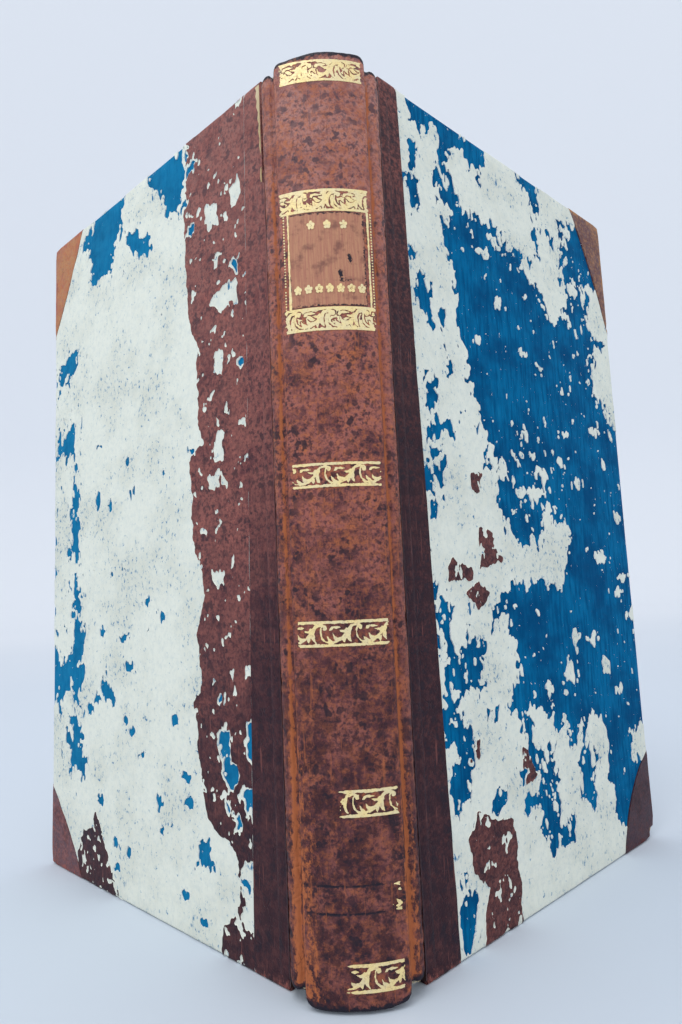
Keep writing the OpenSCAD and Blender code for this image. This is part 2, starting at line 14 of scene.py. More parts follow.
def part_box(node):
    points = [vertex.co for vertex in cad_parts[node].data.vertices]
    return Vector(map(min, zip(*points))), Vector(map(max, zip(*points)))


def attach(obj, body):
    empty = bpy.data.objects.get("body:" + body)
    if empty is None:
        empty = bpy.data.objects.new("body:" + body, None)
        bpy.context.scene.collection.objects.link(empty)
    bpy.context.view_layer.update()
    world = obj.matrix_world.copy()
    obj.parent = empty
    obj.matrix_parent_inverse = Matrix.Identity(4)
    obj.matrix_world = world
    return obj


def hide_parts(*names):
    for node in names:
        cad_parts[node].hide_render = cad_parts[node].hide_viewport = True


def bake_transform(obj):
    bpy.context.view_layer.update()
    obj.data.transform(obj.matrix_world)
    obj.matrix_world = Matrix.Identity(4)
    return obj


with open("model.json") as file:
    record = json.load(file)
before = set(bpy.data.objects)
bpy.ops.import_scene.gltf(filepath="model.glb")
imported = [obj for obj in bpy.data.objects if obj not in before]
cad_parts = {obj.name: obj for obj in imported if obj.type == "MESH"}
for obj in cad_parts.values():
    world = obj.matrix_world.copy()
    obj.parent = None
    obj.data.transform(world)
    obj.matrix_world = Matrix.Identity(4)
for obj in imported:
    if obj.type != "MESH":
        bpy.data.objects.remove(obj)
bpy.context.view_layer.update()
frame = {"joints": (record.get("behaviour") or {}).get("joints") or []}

bl_info = {
    "name": "Antique Leather Book",
    "version": (1, 0, 0),
    "blender": (4, 5, 0),
    "location": "3D View > Sidebar > Book",
    "description": "Dresses a half-leather book with gilt bands and torn paper sides",
    "category": "Object",
}

MM = 0.001
FLAT_SIZE = 100     # millimetres to one unit of the flat coordinates


def length(name, description, millimetres):
    """A size that the user gives in metres."""
    return FloatProperty(name=name, description=description, default=millimetres * MM,
                         unit="LENGTH", precision=5)


def colour(name, description, red, green, blue):
    """A colour that is written as it shows on a screen, from 0 to 255."""
    shown = np.array([red, green, blue]) / 255
    linear = np.where(shown < 0.04, shown / 12.92, ((shown + 0.055) / 1.055) ** 2.4)
    return FloatVectorProperty(name=name, description=description, subtype="COLOR", size=3,
                               min=0, max=1, default=tuple(linear))


class BookCovers(bpy.types.PropertyGroup):
    """Sizes of the covers and of what covers them."""
    open_angle: FloatProperty(name="Open Angle", description="Angle that each cover stands open",
                              default=math.radians(47.5), subtype="ANGLE")
    edge_round: length("Edge Round", "Radius on the covered edges of a board", 0.7)
    thick: length("Thickness", "Thickness of a covered board", 2.6)
    leather_t: length("Leather", "Thickness of the leather on a board", 0.5)
    paper_t: length("Side Paper", "Thickness of the blue side paper", 0.2)
    torn_t: length("Torn Paper", "Thickness of the torn paper over the blue", 0.15)
    skin_t: length("Brown Face", "Thickness of the brown face of the torn paper", 0.1)
    strip_head: length("Strip at Head", "Width of the leather strip at the head", 5.3)
    strip_tail: length("Strip at Tail", "Width of the leather strip at the tail", 9.4)
    corner_w: length("Corner Width", "Length of a leather corner along the head or tail", 17)
    turn_in: length("Turn-in", "Width of the border that is turned in round the pastedown", 4)
    joint_gap: length("Joint Gap", "Gap between the spine and a cover", 0.3)
    cockle: length("Cockle", "Height of the waves in the surface of a cover", 0.05)
    tear_grain: length("Tear Grain", "Smallest tear that is cut into the torn paper", 0.22)


class BookSpine(bpy.types.PropertyGroup):
    """Sizes of the spine and its gilding."""
    panel_r: length("Panel Radius", "Radius of the rounded spine panel", 23.21)
    leather_t: length("Leather", "Thickness of the leather on the spine", 0.8)
    corner_r: length("Worn Corner", "Radius of the worn corners of the spine", 1.4)
    ridge_short: length("Short Ridges", "How far the ridges stay short of the ends of the panel", 2.1)
    cap_reach: length("Cap Reach", "How far the turned-in ends reach over the leaves", 2.6)
    split: length("Split", "Length of the split in the back joint", 21)
    band_h: length("Band Height", "Height of a gilt band", 4.3)
    fillet: length("Fillet", "Width of the gold lines that edge a band", 0.38)
    gold_t: length("Gold", "Relief of the gold", 0.08)
    bead: length("Bead", "Diameter of the beads beside the title panel", 0.34)
    bead_pitch: length("Bead Pitch", "Distance between two beads", 0.56)


class BookLeaves(bpy.types.PropertyGroup):
    """Sizes of the leaves and the endbands."""
    count: IntProperty(name="Leaves", description="Number of leaves that show on the edges",
                       default=117, min=20)
    stray: length("Stray", "How far single leaves stay short of the edges", 0.22)
    section: FloatProperty(name="Section", description="Number of leaves in a section", default=9)
    flare: length("Flare", "How far the backs of the outer leaves bend out over the boards", 1.55)
    hollow: length("Hollow", "Depth of the hollow fore-edge", 1.5)
    back_r: length("Back Radius", "Radius of the rounded backs of the leaves", 21.7)
    thread: length("Thread", "Diameter of the endband thread", 0.3)
    turns: IntProperty(name="Turns", description="Turns of thread on an endband", default=46, min=8)


class BookColours(bpy.types.PropertyGroup):
    """Colours of the materials."""
    calf: colour("Calf", "Mottled leather of the spine", 154, 92, 83)
    calf_dark: colour("Calf Dark", "Darker clouds in the leather", 86, 48, 53)
    sprinkle: colour("Sprinkle", "Dark spots sprinkled on the leather", 34, 29, 40)
    rubbed: colour("Rubbed", "Leather rubbed down to its orange flesh", 178, 102, 62)
    # Painted sheen: leather painted paler towards the head, standing in for the light from above
    painted_sheen: colour("Sheen", "Paler leather towards the head", 178, 132, 122)
    maroon: colour("Maroon", "Leather strips and corners on the boards", 94, 52, 50)
    maroon_dark: colour("Maroon Dark", "Darkest leather on the boards", 48, 28, 36)
    mauve: colour("Mauve", "Dull leather of the tail corners", 98, 74, 82)
    plum: colour("Plum", "Dark leather of the front tail corner", 68, 52, 62)
    tan: colour("Tan", "Bleached leather of the back head corner", 178, 128, 84)
    title: colour("Title", "Smooth leather of the title panel", 184, 132, 102)
    gold: colour("Gold", "Gold leaf", 240, 216, 152)
    blue: colour("Blue", "Blue side paper", 0, 100, 148)
    blue_dark: colour("Blue Dark", "Darker strokes in the blue", 0, 58, 103)
    blue_light: colour("Blue Light", "Paler strokes in the blue", 30, 126, 168)
    cream: colour("Cream", "Torn paper", 224, 226, 214)
    cream_warm: colour("Warm Cream", "Yellowed parts of the torn paper", 204, 205, 191)
    shade: colour("Shade", "Grey fibres and dust in the torn paper", 194, 203, 199)
    brown: colour("Brown", "Brown face of the torn paper", 128, 78, 72)
    page: colour("Page", "Edges of the leaves", 226, 212, 180)
    endpaper: colour("Endpaper", "Pastedowns and flyleaves", 232, 222, 198)
    board: colour("Board", "Pasteboard", 168, 146, 112)
    hemp: colour("Hemp", "Sewing cords", 182, 160, 118)
    thread_pale: colour("Pale Thread", "Pale thread of the endbands", 222, 210, 184)
    thread_blue: colour("Blue Thread", "Blue thread of the endbands", 70, 96, 140)
    floor: colour("Backdrop", "Backdrop far behind the book", 235, 238, 243)
    # Painted shade: the floor is painted darker round the book, paling towards the backdrop
    painted_floor_shade: colour("Floor", "Floor round the book", 200, 209, 220)


class BookStage(bpy.types.PropertyGroup):
    """Light on the book."""
    key: FloatProperty(name="Key", description="Power of the light above the head", default=1.5,
                       unit="POWER")
    fill: FloatProperty(name="Fill", description="Power of each side light", default=0.35, unit="POWER")
    sky: FloatProperty(name="Sky", description="Strength of the light from all round", default=1.02)


class BookSettings(bpy.types.PropertyGroup):
    """Everything that can be set on the book."""
    covers: PointerProperty(type=BookCovers)
    spine: PointerProperty(type=BookSpine)
    leaves: PointerProperty(type=BookLeaves)
    colours: PointerProperty(type=BookColours)
    stage: PointerProperty(type=BookStage)


def settings():
    """The book's settings in the open scene."""
    return bpy.context.scene.antique_book


def mm(value):
    """A length in metres as millimetres."""
    return value / MM


# Sizes that the frame gives
def corners(node):
    """Lowest and highest corner of a solid, in millimetres."""
    lo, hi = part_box(node)
    return np.array(lo) / MM, np.array(hi) / MM


HINGE_X, HINGE_Y = (value / MM for value in frame["joints"][0]["pos_m"][:2])
BOOK_H = corners("front_leather_strip")[1][2]
LEAVES_LO, LEAVES_HI = corners("text_block")
SPINE_LO, SPINE_HI = corners("spine_leather")
FOLD_X = corners("front_flyleaf")[0][0]
FACES = {"front": 1, "back": -1}


def smooth(start, stop, x):
    """Rises softly from 0 at start to 1 at stop."""
    t = np.clip((x - start) / (stop - start), 0, 1)
    return t * t * (3 - 2 * t)


NOISE_GRID = 128    # steps after which the noise comes again
NOISE_GAIN = 1.7    # brings its values to -1 to 1
FINER_SHARE = 0.6   # strength of each finer layer in the one before it


def noise(x, y, size, seed, octaves=1):
    """Smooth chance values from -1 to 1 with features of a size, and finer ones over them."""
    total, weight = 0, 0
    for octave in range(octaves):
        turns = np.random.default_rng(seed + octave).uniform(0, 2 * np.pi, (NOISE_GRID, NOISE_GRID))
        slope_x, slope_y = np.cos(turns), np.sin(turns)
        x, y = 0.8 * x - 0.6 * y, 0.6 * x + 0.8 * y
        gx, gy = x * 2 ** octave / size + 31.7, y * 2 ** octave / size + 17.3
        i, j = np.floor(gx).astype(int), np.floor(gy).astype(int)
        fx, fy = gx - i, gy - j

        def pull(di, dj):
            at = (i + di) % NOISE_GRID, (j + dj) % NOISE_GRID
            return slope_x[at] * (fx - di) + slope_y[at] * (fy - dj)
        sx, sy = smooth(0, 1, fx), smooth(0, 1, fy)
        low = pull(0, 0) * (1 - sx) + pull(1, 0) * sx
        high = pull(0, 1) * (1 - sx) + pull(1, 1) * sx
        total = total + NOISE_GAIN * (low * (1 - sy) + high * sy) * FINER_SHARE ** octave
        weight += FINER_SHARE ** octave
    return total / weight


def wander(z, size, seed, octaves=1):
    """Smooth chance values that change with the height only."""
    return noise(0 * z, z, size, seed, octaves)


def hill(x, middle, width):
    """A soft hill, 1 high at its middle."""
    return np.exp(-((x - middle) / width) ** 2)


def away_from(path, x, y):
    """Distance to a line through the points of a path."""
    best = np.full(np.shape(x), 1e9)
    for (ax, ay), (bx, by) in zip(path, path[1:]):
        dx, dy = bx - ax, by - ay
        t = np.clip(((x - ax) * dx + (y - ay) * dy) / (dx * dx + dy * dy), 0, 1)
        best = np.minimum(best, np.hypot(x - ax - t * dx, y - ay - t * dy))
    return best


def inside(outline, x, y):
    """Distance to the line round an outline, above zero inside it."""
    ring = [*outline, outline[0]]
    within = np.zeros(np.shape(x), bool)
    for (ax, ay), (bx, by) in zip(ring, ring[1:]):
        if ay != by:
            within ^= ((ay > y) != (by > y)) & (x < ax + (y - ay) * (bx - ax) / (by - ay))
    away = away_from(ring, x, y)
    return np.where(within, away, -away)


def stroke(path, width, x, y):
    """Distance to the edge of a line drawn along a path, above zero on the line."""
    return width / 2 - away_from(path, x, y)


def curve_through(points, step):
    """Points a step apart on a smooth curve through the given points."""
    p = np.array([points[0], *points, points[-1]], float)
    fine = []
    for a, b, c, d in zip(p, p[1:], p[2:], p[3:]):
        for t in np.linspace(0, 1, 12, endpoint=False):
            fine.append(0.5 * (2 * b + (c - a) * t + (2 * a - 5 * b + 4 * c - d) * t ** 2
                               + (3 * b - a - 3 * c + d) * t ** 3))
    fine = np.array([*fine, p[-1]])
    run = np.concatenate([[0], np.cumsum(np.hypot(*np.diff(fine, axis=0).T))])
    at = np.linspace(0, run[-1], max(2, round(run[-1] / step)))
    return np.stack([np.interp(at, run, fine[:, k]) for k in (0, 1)], axis=1)


def contour(field, xs, ys):
    """Points and edges of the line on which a field over a grid is zero."""
    full = field > 0
    points, index, edges = [], {}, []

    def crossing(i, j, k, l):
        if (i, j, k, l) not in index:
            t = field[i, j] / (field[i, j] - field[k, l])
            index[i, j, k, l] = len(points)
            points.append((xs[i] + t * (xs[k] - xs[i]), ys[j] + t * (ys[l] - ys[j])))
        return index[i, j, k, l]

    count = full[:-1, :-1] * 1 + full[1:, :-1] + full[1:, 1:] + full[:-1, 1:]
    for i, j in np.argwhere((count > 0) & (count < 4)).tolist():
        sides = ((i, j, i + 1, j), (i + 1, j, i + 1, j + 1), (i, j + 1, i + 1, j + 1), (i, j, i, j + 1))
        cuts = [crossing(*side) for side in sides if full[side[:2]] != full[side[2:]]]
        edges.extend((cuts[k], cuts[k + 1]) for k in range(0, len(cuts), 2))
    return points, edges


def put(name, data):
    """A new object in the scene."""
    made = bpy.data.objects.new(name, data)
    bpy.context.scene.collection.objects.link(made)
    return made


class Shape:
    """Corner points, faces, material slots and flat coordinates of one piece."""

    def __init__(self):
        self.points, self.faces, self.slots, self.flat, self.marks = [], [], [], [], []

    def add(self, points, faces, slot=0, flat=None, mark=None):
        """Adds faces, with flat coordinates in millimetres and a mark for each point."""
        start = sum(len(p) for p in self.points)
        points = np.asarray(points, float)
        self.points.append(points)
        self.faces.extend([start + i for i in face] for face in faces)
        self.slots.extend([slot] * len(faces) if np.isscalar(slot) else slot)
        self.flat.append(np.zeros((len(points), 2)) if flat is None else flat)
        self.marks.append(np.zeros(len(points)) if mark is None else mark)

    def add_sheet(self, points, edges, keep, surface, slots=(0, 0), mark=None, mirrored=False):
        """Cuts a thin sheet out of a flat drawing and lays it on a surface, face and back."""
        flat, _, faces, *_ = delaunay_2d_cdt([Vector(p) for p in points], edges, [], 0, 1e-5)
        flat, faces = np.array([v[:] for v in flat]), np.array(faces)
        middle = flat[faces].mean(axis=1)
        faces = faces[keep(middle[:, 0], middle[:, 1])]
        used, faces = np.unique(faces, return_inverse=True)
        flat, faces = flat[used], faces.reshape(-1, 3)
        n = len(flat)
        sides = np.concatenate([faces[:, [0, 1]], faces[:, [1, 2]], faces[:, [2, 0]]])
        codes = sides[:, 0] * n + sides[:, 1]
        rim = sides[~np.isin(codes, sides[:, 1] * n + sides[:, 0])]
        walls = np.stack([rim[:, 0], rim[:, 0] + n, rim[:, 1] + n, rim[:, 1]], axis=1)
        every = [*faces.tolist(), *(faces[:, ::-1] + n).tolist(), *walls.tolist()]
        if mirrored:
            every = [face[::-1] for face in every]
        solid = np.concatenate([surface(flat[:, 0], flat[:, 1], back) for back in (0, 1)])
        slot = [slots[0]] * (2 * len(faces)) + [slots[1]] * len(walls)
        marks = None if mark is None else np.tile(mark(flat[:, 0], flat[:, 1]), 2)
        self.add(solid, every, slot, np.tile(flat, (2, 1)), marks)

    def piece(self, name, materials, sharp=40):
        """The finished object."""
        mesh = bpy.data.meshes.new(name)
        mesh.from_pydata((np.concatenate(self.points) * MM).tolist(), [], self.faces)
        mesh.polygons.foreach_set("material_index", self.slots)
        loops = np.zeros(len(mesh.loops), int)
        mesh.loops.foreach_get("vertex_index", loops)
        flat = np.concatenate(self.flat) / FLAT_SIZE
        mesh.uv_layers.new(name="flat").data.foreach_set("uv", flat[loops].ravel())
        mark = mesh.attributes.new("worn", "FLOAT", "POINT")
        mark.data.foreach_set("value", np.concatenate(self.marks).astype(float))
        for material in materials:
            mesh.materials.append(material)
        mesh.shade_smooth()
        mesh.set_sharp_from_angle(angle=math.radians(sharp))
        mesh.validate()
        return put(name, mesh)

    def dress(self, node, materials, body, slot, sharp=40):
        """The finished object in place of a solid."""
        seat(self.piece(node + "_dressed", materials, sharp), body, slot, node)


def seat(piece, body, slot, *nodes):
    """Ties a finished piece to its body and hides the solids it stands for; its material slot is not used.
    """
    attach(piece, body)
    if nodes:
        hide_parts(*nodes)


def sum_of(operation, turned=False):
    """A sum of two numbers in a node tree, in the order they stand in or turned round."""
    def result(a, b):
        return a.nodes.math(operation, *((b, a) if turned else (a, b)))
    return result


class Value:
    """A number in a node tree, which can be written in plain sums."""
    __array_ufunc__ = None  # a numpy number leaves the sum to this class

    def __init__(self, nodes, socket):
        self.nodes, self.socket = nodes, socket

    __add__ = __radd__ = sum_of("ADD")
    __mul__ = __rmul__ = sum_of("MULTIPLY")
    __sub__, __rsub__ = sum_of("SUBTRACT"), sum_of("SUBTRACT", True)
    __truediv__, __mod__, __pow__ = sum_of("DIVIDE"), sum_of("MODULO"), sum_of("POWER")
    __lt__ = sum_of("LESS_THAN")


class Nodes:
    """What a material's tree and a Geometry Nodes tree share."""

    def plug(self, socket, value):
        """Gives an input a value, or ties it to the node or number that it comes from."""
        value = getattr(value, "socket", value)
        if isinstance(value, bpy.types.Node):
            value = value.outputs[0]
        if isinstance(value, bpy.types.NodeSocket):
            self.tree.links.new(value, socket)
        else:
            socket.default_value = value

    def node(self, kind, inputs=None, **options):
        """Adds a node and fills its inputs."""
        whole_name = kind.startswith(("Shader", "Function"))
        made = self.tree.nodes.new(kind if whole_name else self.family + kind)
        for key, value in options.items():
            setattr(made, key, value)
        for key, value in (inputs or {}).items():
            self.plug(made.inputs[key], value)
        return made

    def value(self, output, kind, inputs=None, **options):
        """A number that a new node gives."""
        return Value(self, self.node(kind, inputs, **options).outputs[output])

    def math(self, operation, a, b=0.0):
        """Result of one sum."""
        return self.value(0, "ShaderNodeMath", {0: a, 1: b}, operation=operation)

    def steps(self, value, low, high, bottom=0.0, top=1.0):
        """Rises from bottom to top as the value goes from low to high."""
        return self.value("Result", "ShaderNodeMapRange",
                          {"Value": value, "From Min": low, "From Max": high, "To Min": bottom,
                           "To Max": top}, interpolation_type="SMOOTHSTEP")


class Growth(Nodes):
    """A Geometry Nodes tree that is built, run once and turned into a plain mesh."""
    family = "GeometryNode"

    def __init__(self, name, **values):
        self.tree = bpy.data.node_groups.new(name, "GeometryNodeTree")
        self.values = values
        for key, value in values.items():
            kind = "NodeSocketInt" if isinstance(value, int) else "NodeSocketFloat"
            self.tree.interface.new_socket(key, in_out="INPUT", socket_type=kind)
        self.tree.interface.new_socket("Mesh", in_out="OUTPUT", socket_type="NodeSocketGeometry")
        sockets = self.tree.nodes.new("NodeGroupInput").outputs
        self.given = {key: Value(self, sockets[key]) for key in values}

    def place(self, x, y, z):
        """A point from its three values."""
        return self.node("ShaderNodeCombineXYZ", {"X": x, "Y": y, "Z": z})

    def tube(self, curve, radius, sides):
        """A round tube along a curve."""
        ring = self.node("CurvePrimitiveCircle", {"Resolution": sides, "Radius": radius})
        return self.node("CurveToMesh", {"Curve": curve, "Profile Curve": ring, "Fill Caps": True})

    def dressed(self, geometry, material):
        """Geometry with a material."""
        return self.node("SetMaterial", {"Geometry": geometry, "Material": material})

    def piece(self, name, geometry, material, rounded, move=(0, 0, 0)):
        """The finished object, brought to metres and given its material at the end of the tree."""
        small = self.node("Transform", {"Geometry": geometry, "Scale": (MM, MM, MM), "Translation": move})
        whole = self.node("RealizeInstances", {"Geometry": small})
        mesh = self.mesh(self.dressed(whole, material) if material else whole)
        mesh.name = name
        mesh.polygons.foreach_set("use_smooth", [rounded] * len(mesh.polygons))
        return put(name, mesh)

    def mesh(self, geometry):
        """Runs the tree and returns its result as a plain mesh."""
        self.plug(self.tree.nodes.new("NodeGroupOutput").inputs[0], geometry)
        carrier = put(self.tree.name, bpy.data.meshes.new(self.tree.name))
        modifier = carrier.modifiers.new(self.tree.name, "NODES")
        modifier.node_group = self.tree
        for item in self.tree.interface.items_tree:
            if item.in_out == "INPUT":
                modifier[item.identifier] = self.values[item.name]
        graph = bpy.context.evaluated_depsgraph_get()
        made = bpy.data.meshes.new_from_object(carrier.evaluated_get(graph))
        carrier.modifiers.remove(modifier)
        bpy.data.objects.remove(carrier)
        return made


class Finish(Nodes):
    """A material that is built up from nodes, with lengths in millimetres."""
    family = "ShaderNode"

    def __init__(self, name, roughness=0.5, source="flat", shine=0.2, **sockets):
        self.material = bpy.data.materials.new(name)
        self.material.use_nodes = True
        self.tree = self.material.node_tree
        self.shader = self.tree.nodes["Principled BSDF"]
        sockets = {"Roughness": roughness, "Specular IOR Level": shine, **sockets}
        for key, value in sockets.items():
            self.plug(self.shader.inputs[key], value)
        if source == "flat":
            place, scale = self.node("UVMap", uv_map="flat").outputs["UV"], (FLAT_SIZE, FLAT_SIZE, 1)
        else:
            place, scale = self.node("TexCoord").outputs["Object"], (1 / MM, 1 / MM, 1 / MM)
        self.at = self.node("Mapping", {"Vector": place, "Scale": scale})

    def stretched(self, scale, turn=0.0, shift=(0, 0, 0)):
        """The place on the surface, stretched, turned and shifted."""
        return self.node("Mapping", {"Vector": self.at, "Scale": scale, "Location": shift,
                                     "Rotation": (0, 0, turn)})

    def clouds(self, size, detail=4, rough=0.6, at=None, warp=0.0):
        """Soft noise with features of a size."""
        return self.value("Fac", "TexNoise", {"Vector": at or self.at, "Scale": 1 / size, "Detail": detail,
                                              "Roughness": rough, "Distortion": warp})

    def cells(self, size, at=None, feature="F1"):
        """Distance inside cells of a size."""
        return self.value("Distance", "TexVoronoi", {"Vector": at or self.at, "Scale": 1 / size},
                          feature=feature)

    def mix(self, share, a, b):
        """Two colours mixed."""
        made = self.node("Mix", {0: share}, data_type="RGBA")
        for key, value in ((6, a), (7, b)):
            self.plug(made.inputs[key], value if isinstance(value, bpy.types.NodeSocket) else (*value, 1))
        return made.outputs[2]

    def over(self, ground, colour, cloud, low, high, top=1.0):
        """A colour laid over the ground where a cloud goes from low to high, up to a share."""
        return self.mix(self.steps(cloud, low, high, 0, top), ground, colour)

    def worn(self):
        """The mark that the mesh carries, from 0 to 1."""
        return self.value("Fac", "Attribute", attribute_name="worn")

    def done(self, colour, height, depth=0.05, strength=1.0, roughness=None):
        """Joins colour, relief of a depth in millimetres, and roughness to the shader."""
        self.plug(self.shader.inputs["Base Color"], colour)
        if height is not None:
            bump = self.node("Bump", {"Height": height, "Distance": depth * MM, "Strength": strength})
            self.plug(self.shader.inputs["Normal"], bump)
        if roughness is not None:
            self.plug(self.shader.inputs["Roughness"], roughness)
        return self.material


SHEEN_FROM, SHEEN_TO = 110, 200     # heights between which the painted sheen grows: leather painted paler towards the head, as lit from above


def mottled_leather(name, base, dark, rubbed, spots=0.8, low=None, painted_sheen=0.0, shine=0.1):
    """Calf sprinkled with dark spots, with rubbed, cracked and scratched places.

    It darkens from one height to another by a share, partly stains and partly painted shade, and has a
    painted sheen towards the head: paler leather that stands in for the light from above."""
    c = settings().colours
    f = Finish(name, 0.5, shine=shine)
    deep, spot = 0.0, c.sprinkle
    if low:
        z = f.value("Y", "SeparateXYZ", {0: f.at}) + 40 * f.clouds(12, 3)
        deep = f.steps(z - 20, *low[:2])
        # Painted sheen: the leather, its clouds and its spots grow paler towards the head, standing in for
        # the light from above
        pale = f.steps(z, SHEEN_FROM, SHEEN_TO, 0, painted_sheen)
        base, dark = f.mix(pale, base, c.painted_sheen), f.mix(pale, dark, c.calf)
        spot = f.mix(pale, spot, c.mauve)
    ground = f.over(base, dark, f.clouds(8, 5, 0.7, warp=0.5) + 0.07 * deep, 0.44, 0.66, 0.9)
    wide = f.clouds(5, 5, 0.75, f.stretched((1, 0.8, 1), 0, (9, 71, 0)))
    ground = f.over(ground, rubbed, wide, 0.48, 0.66, 0.6)
    ground = f.over(ground, rubbed, f.clouds(1.2, 5, 0.75), 0.44, 0.66, 0.65)
    ground = f.over(ground, dark, f.clouds(0.8, 4, 0.7), 0.48, 0.62, 0.75)
    # Darker towards the tail: patchy stains, and an even darkening by a share that is partly stain and
    # partly painted shade
    if low:
        patches = f.steps(f.clouds(3.4, 5, 0.72, warp=0.3) + 0.06 * deep, 0.5, 0.64)
        for share in (deep * patches * 0.75, deep * low[2]):
            ground = f.mix(share, ground, c.maroon_dark)

    def dots(size, drift, strength):
        """Soft round spots of uneven sizes."""
        apart = f.cells(size, f.stretched((1.1, 0.9, 1), size))
        return f.steps(apart + drift * (f.clouds(size * 1.5, 2) - 0.5), 0.38, 0.02, 0, strength)
    spotted = f.math("MAXIMUM", dots(0.8, 2.8, 0.7), dots(0.42, 1.6, 0.45))
    spotted = f.math("MAXIMUM", dots(1.35, 3.6, 0.85), spotted)
    thick = f.steps(f.clouds(7, 3), 0.36, 0.6, 0.25, 1)
    ground = f.mix(spotted * thick * spots, ground, spot)
    uneven = f.steps(f.clouds(0.8, 5, 0.75, f.stretched((1, 0.5, 1))), 0.3, 0.7, -0.4, 0.4)
    rub = f.steps(f.worn() + uneven, 0.3, 0.75, 0, 0.85)
    ground = f.mix(rub, ground, rubbed)
    # Dark where the mark is below zero; on the spine this holds painted shade beside the joints as well as
    # blind lines, the channel and the ends
    sunk = f.worn() + f.steps(f.clouds(0.7, 4, 0.7), 0.3, 0.7, -0.3, 0.3)
    ground = f.over(ground, c.sprinkle, sunk, -0.15, -0.75)
    grain = f.cells(0.28, f.stretched((1, 0.8, 1), 0.3))
    cracks = f.cells(1.6, f.stretched((1, 0.45, 1), 0.2), "DISTANCE_TO_EDGE")
    crack = f.steps(cracks, 0.0, 0.045, 1, 0) * f.steps(f.clouds(4, 3), 0.5, 0.62)
    ground = f.mix(0.3 * crack, ground, c.sprinkle)
    ground = f.over(ground, rubbed, f.clouds(0.7, 2, at=f.stretched((1, 0.06, 1))), 0.65, 0.69, 0.3)
    height = 0.4 * grain + f.clouds(0.7, 5, 0.7) - 1.2 * crack
    return f.done(ground, height, 0.07, 0.8, f.steps(rub + f.clouds(3, 3), 0.2, 1.5, 0.4, 0.68))


def title_leather(name):
    """Smooth leather with a fine upright grain, and a few scuffs."""
    c = settings().colours
    f = Finish(name, 0.4)
    upright = f.clouds(0.32, 4, 0.7, f.stretched((1, 0.05, 1)))
    ground = f.over(c.title, c.calf, upright, 0.35, 0.68, 0.6)
    ground = f.over(ground, c.calf_dark, f.clouds(3, 4), 0.5, 0.7, 0.6)
    scuff = f.worn() + f.steps(f.clouds(0.8, 4, 0.7), 0.3, 0.7, -0.3, 0.3)
    ground = f.over(ground, c.sprinkle, scuff, -0.2, -0.5)
    return f.done(ground, upright + f.clouds(0.5, 4), 0.04, 0.6,
                  f.steps(f.clouds(2, 3), 0.3, 0.7, 0.34, 0.55))


def gold_leaf(name):
    """Old gold leaf, dulled and rubbed thin."""
    c = settings().colours
    f = Finish(name, 0.45, "object", 0.4, Metallic=0.25)
    ground = f.over(c.gold, c.calf, f.clouds(0.4, 5, 0.75), 0.48, 0.68, 0.45)
    ground = f.over(ground, c.cream_warm, f.clouds(2.5, 3), 0.35, 0.65, 0.3)
    rough = f.steps(f.clouds(0.8, 4), 0.3, 0.7, 0.32, 0.55)
    return f.done(ground, f.clouds(0.25, 3), 0.02, 0.5, rough)


def blue_paper(name, faded):
    """Blue paste paper with brush strokes and small losses down to the cream, faded by a share."""
    c = settings().colours
    f = Finish(name, 0.55, shine=0.01)
    upright = f.clouds(0.9, 5, 0.65, f.stretched((1, 0.1, 1), 0.05))
    slanted = f.clouds(1.3, 5, 0.65, f.stretched((1, 0.14, 1), 0.75), 0.3)
    ground = f.over(c.blue, c.blue_dark, upright, 0.42, 0.66, 0.7)
    ground = f.over(ground, c.blue_light, slanted, 0.52, 0.75, 0.4)
    ground = f.over(ground, c.blue_dark, f.clouds(13, 4), 0.38, 0.66, 0.85)
    ground = f.mix(f.steps(f.clouds(4, 5, 0.7), 0.3, 0.7, 0.5 * faded, faded), ground, c.blue_light)
    flecks = f.clouds(1.1, 6, 0.72, f.stretched((1, 0.7, 1), 0.3))
    loss = f.steps(flecks + 0.09 * f.worn(), 0.715, 0.74)
    ground = f.mix(loss, ground, c.cream)
    height = upright + f.clouds(0.3, 4) - 0.8 * loss
    return f.done(ground, height, 0.03, 0.5, f.steps(upright, 0.3, 0.7, 0.46, 0.66))


def torn_paper(name):
    """Cream rag paper that has been torn, with fibres, stains and thin places."""
    c = settings().colours
    f = Finish(name, 0.82)
    ground = f.over(c.cream, c.cream_warm, f.clouds(16, 5), 0.4, 0.7, 0.8)
    fibres = f.clouds(0.5, 4, 0.7, f.stretched((1, 0.35, 1), 0.5))
    ground = f.over(ground, c.cream_warm, fibres, 0.45, 0.75, 0.3)
    ground = f.over(ground, c.shade, f.clouds(1.6, 6, 0.75), 0.42, 0.7, 0.5)
    thin = f.clouds(1.0, 6, 0.75, f.stretched((1, 0.7, 1), 0.2, (3, 91, 0)), 0.3) + 0.09 * f.worn()
    thin = thin + f.steps(f.clouds(16, 4, 0.65), 0.3, 0.7, -0.06, 0.05)
    ground = f.over(ground, c.blue_light, thin, 0.64, 0.74, 0.6)
    ground = f.over(ground, c.blue, thin, 0.715, 0.74)
    stain = f.clouds(2.6, 5, 0.7, f.stretched((1, 1, 1), 0, (53, 7, 0)))
    ground = f.over(ground, c.brown, stain, 0.68, 0.8, 0.3)
    return f.done(ground, fibres + f.clouds(1.2, 5, 0.65), 0.06, 0.6)


def torn_edge(name):
    """White fibres along a tear."""
    f = Finish(name, 0.9)
    fuzz = f.clouds(0.3, 3, 0.7)
    return f.done(f.mix(fuzz, settings().colours.cream, (0.95, 0.95, 0.92)), fuzz, 0.05, 0.8)


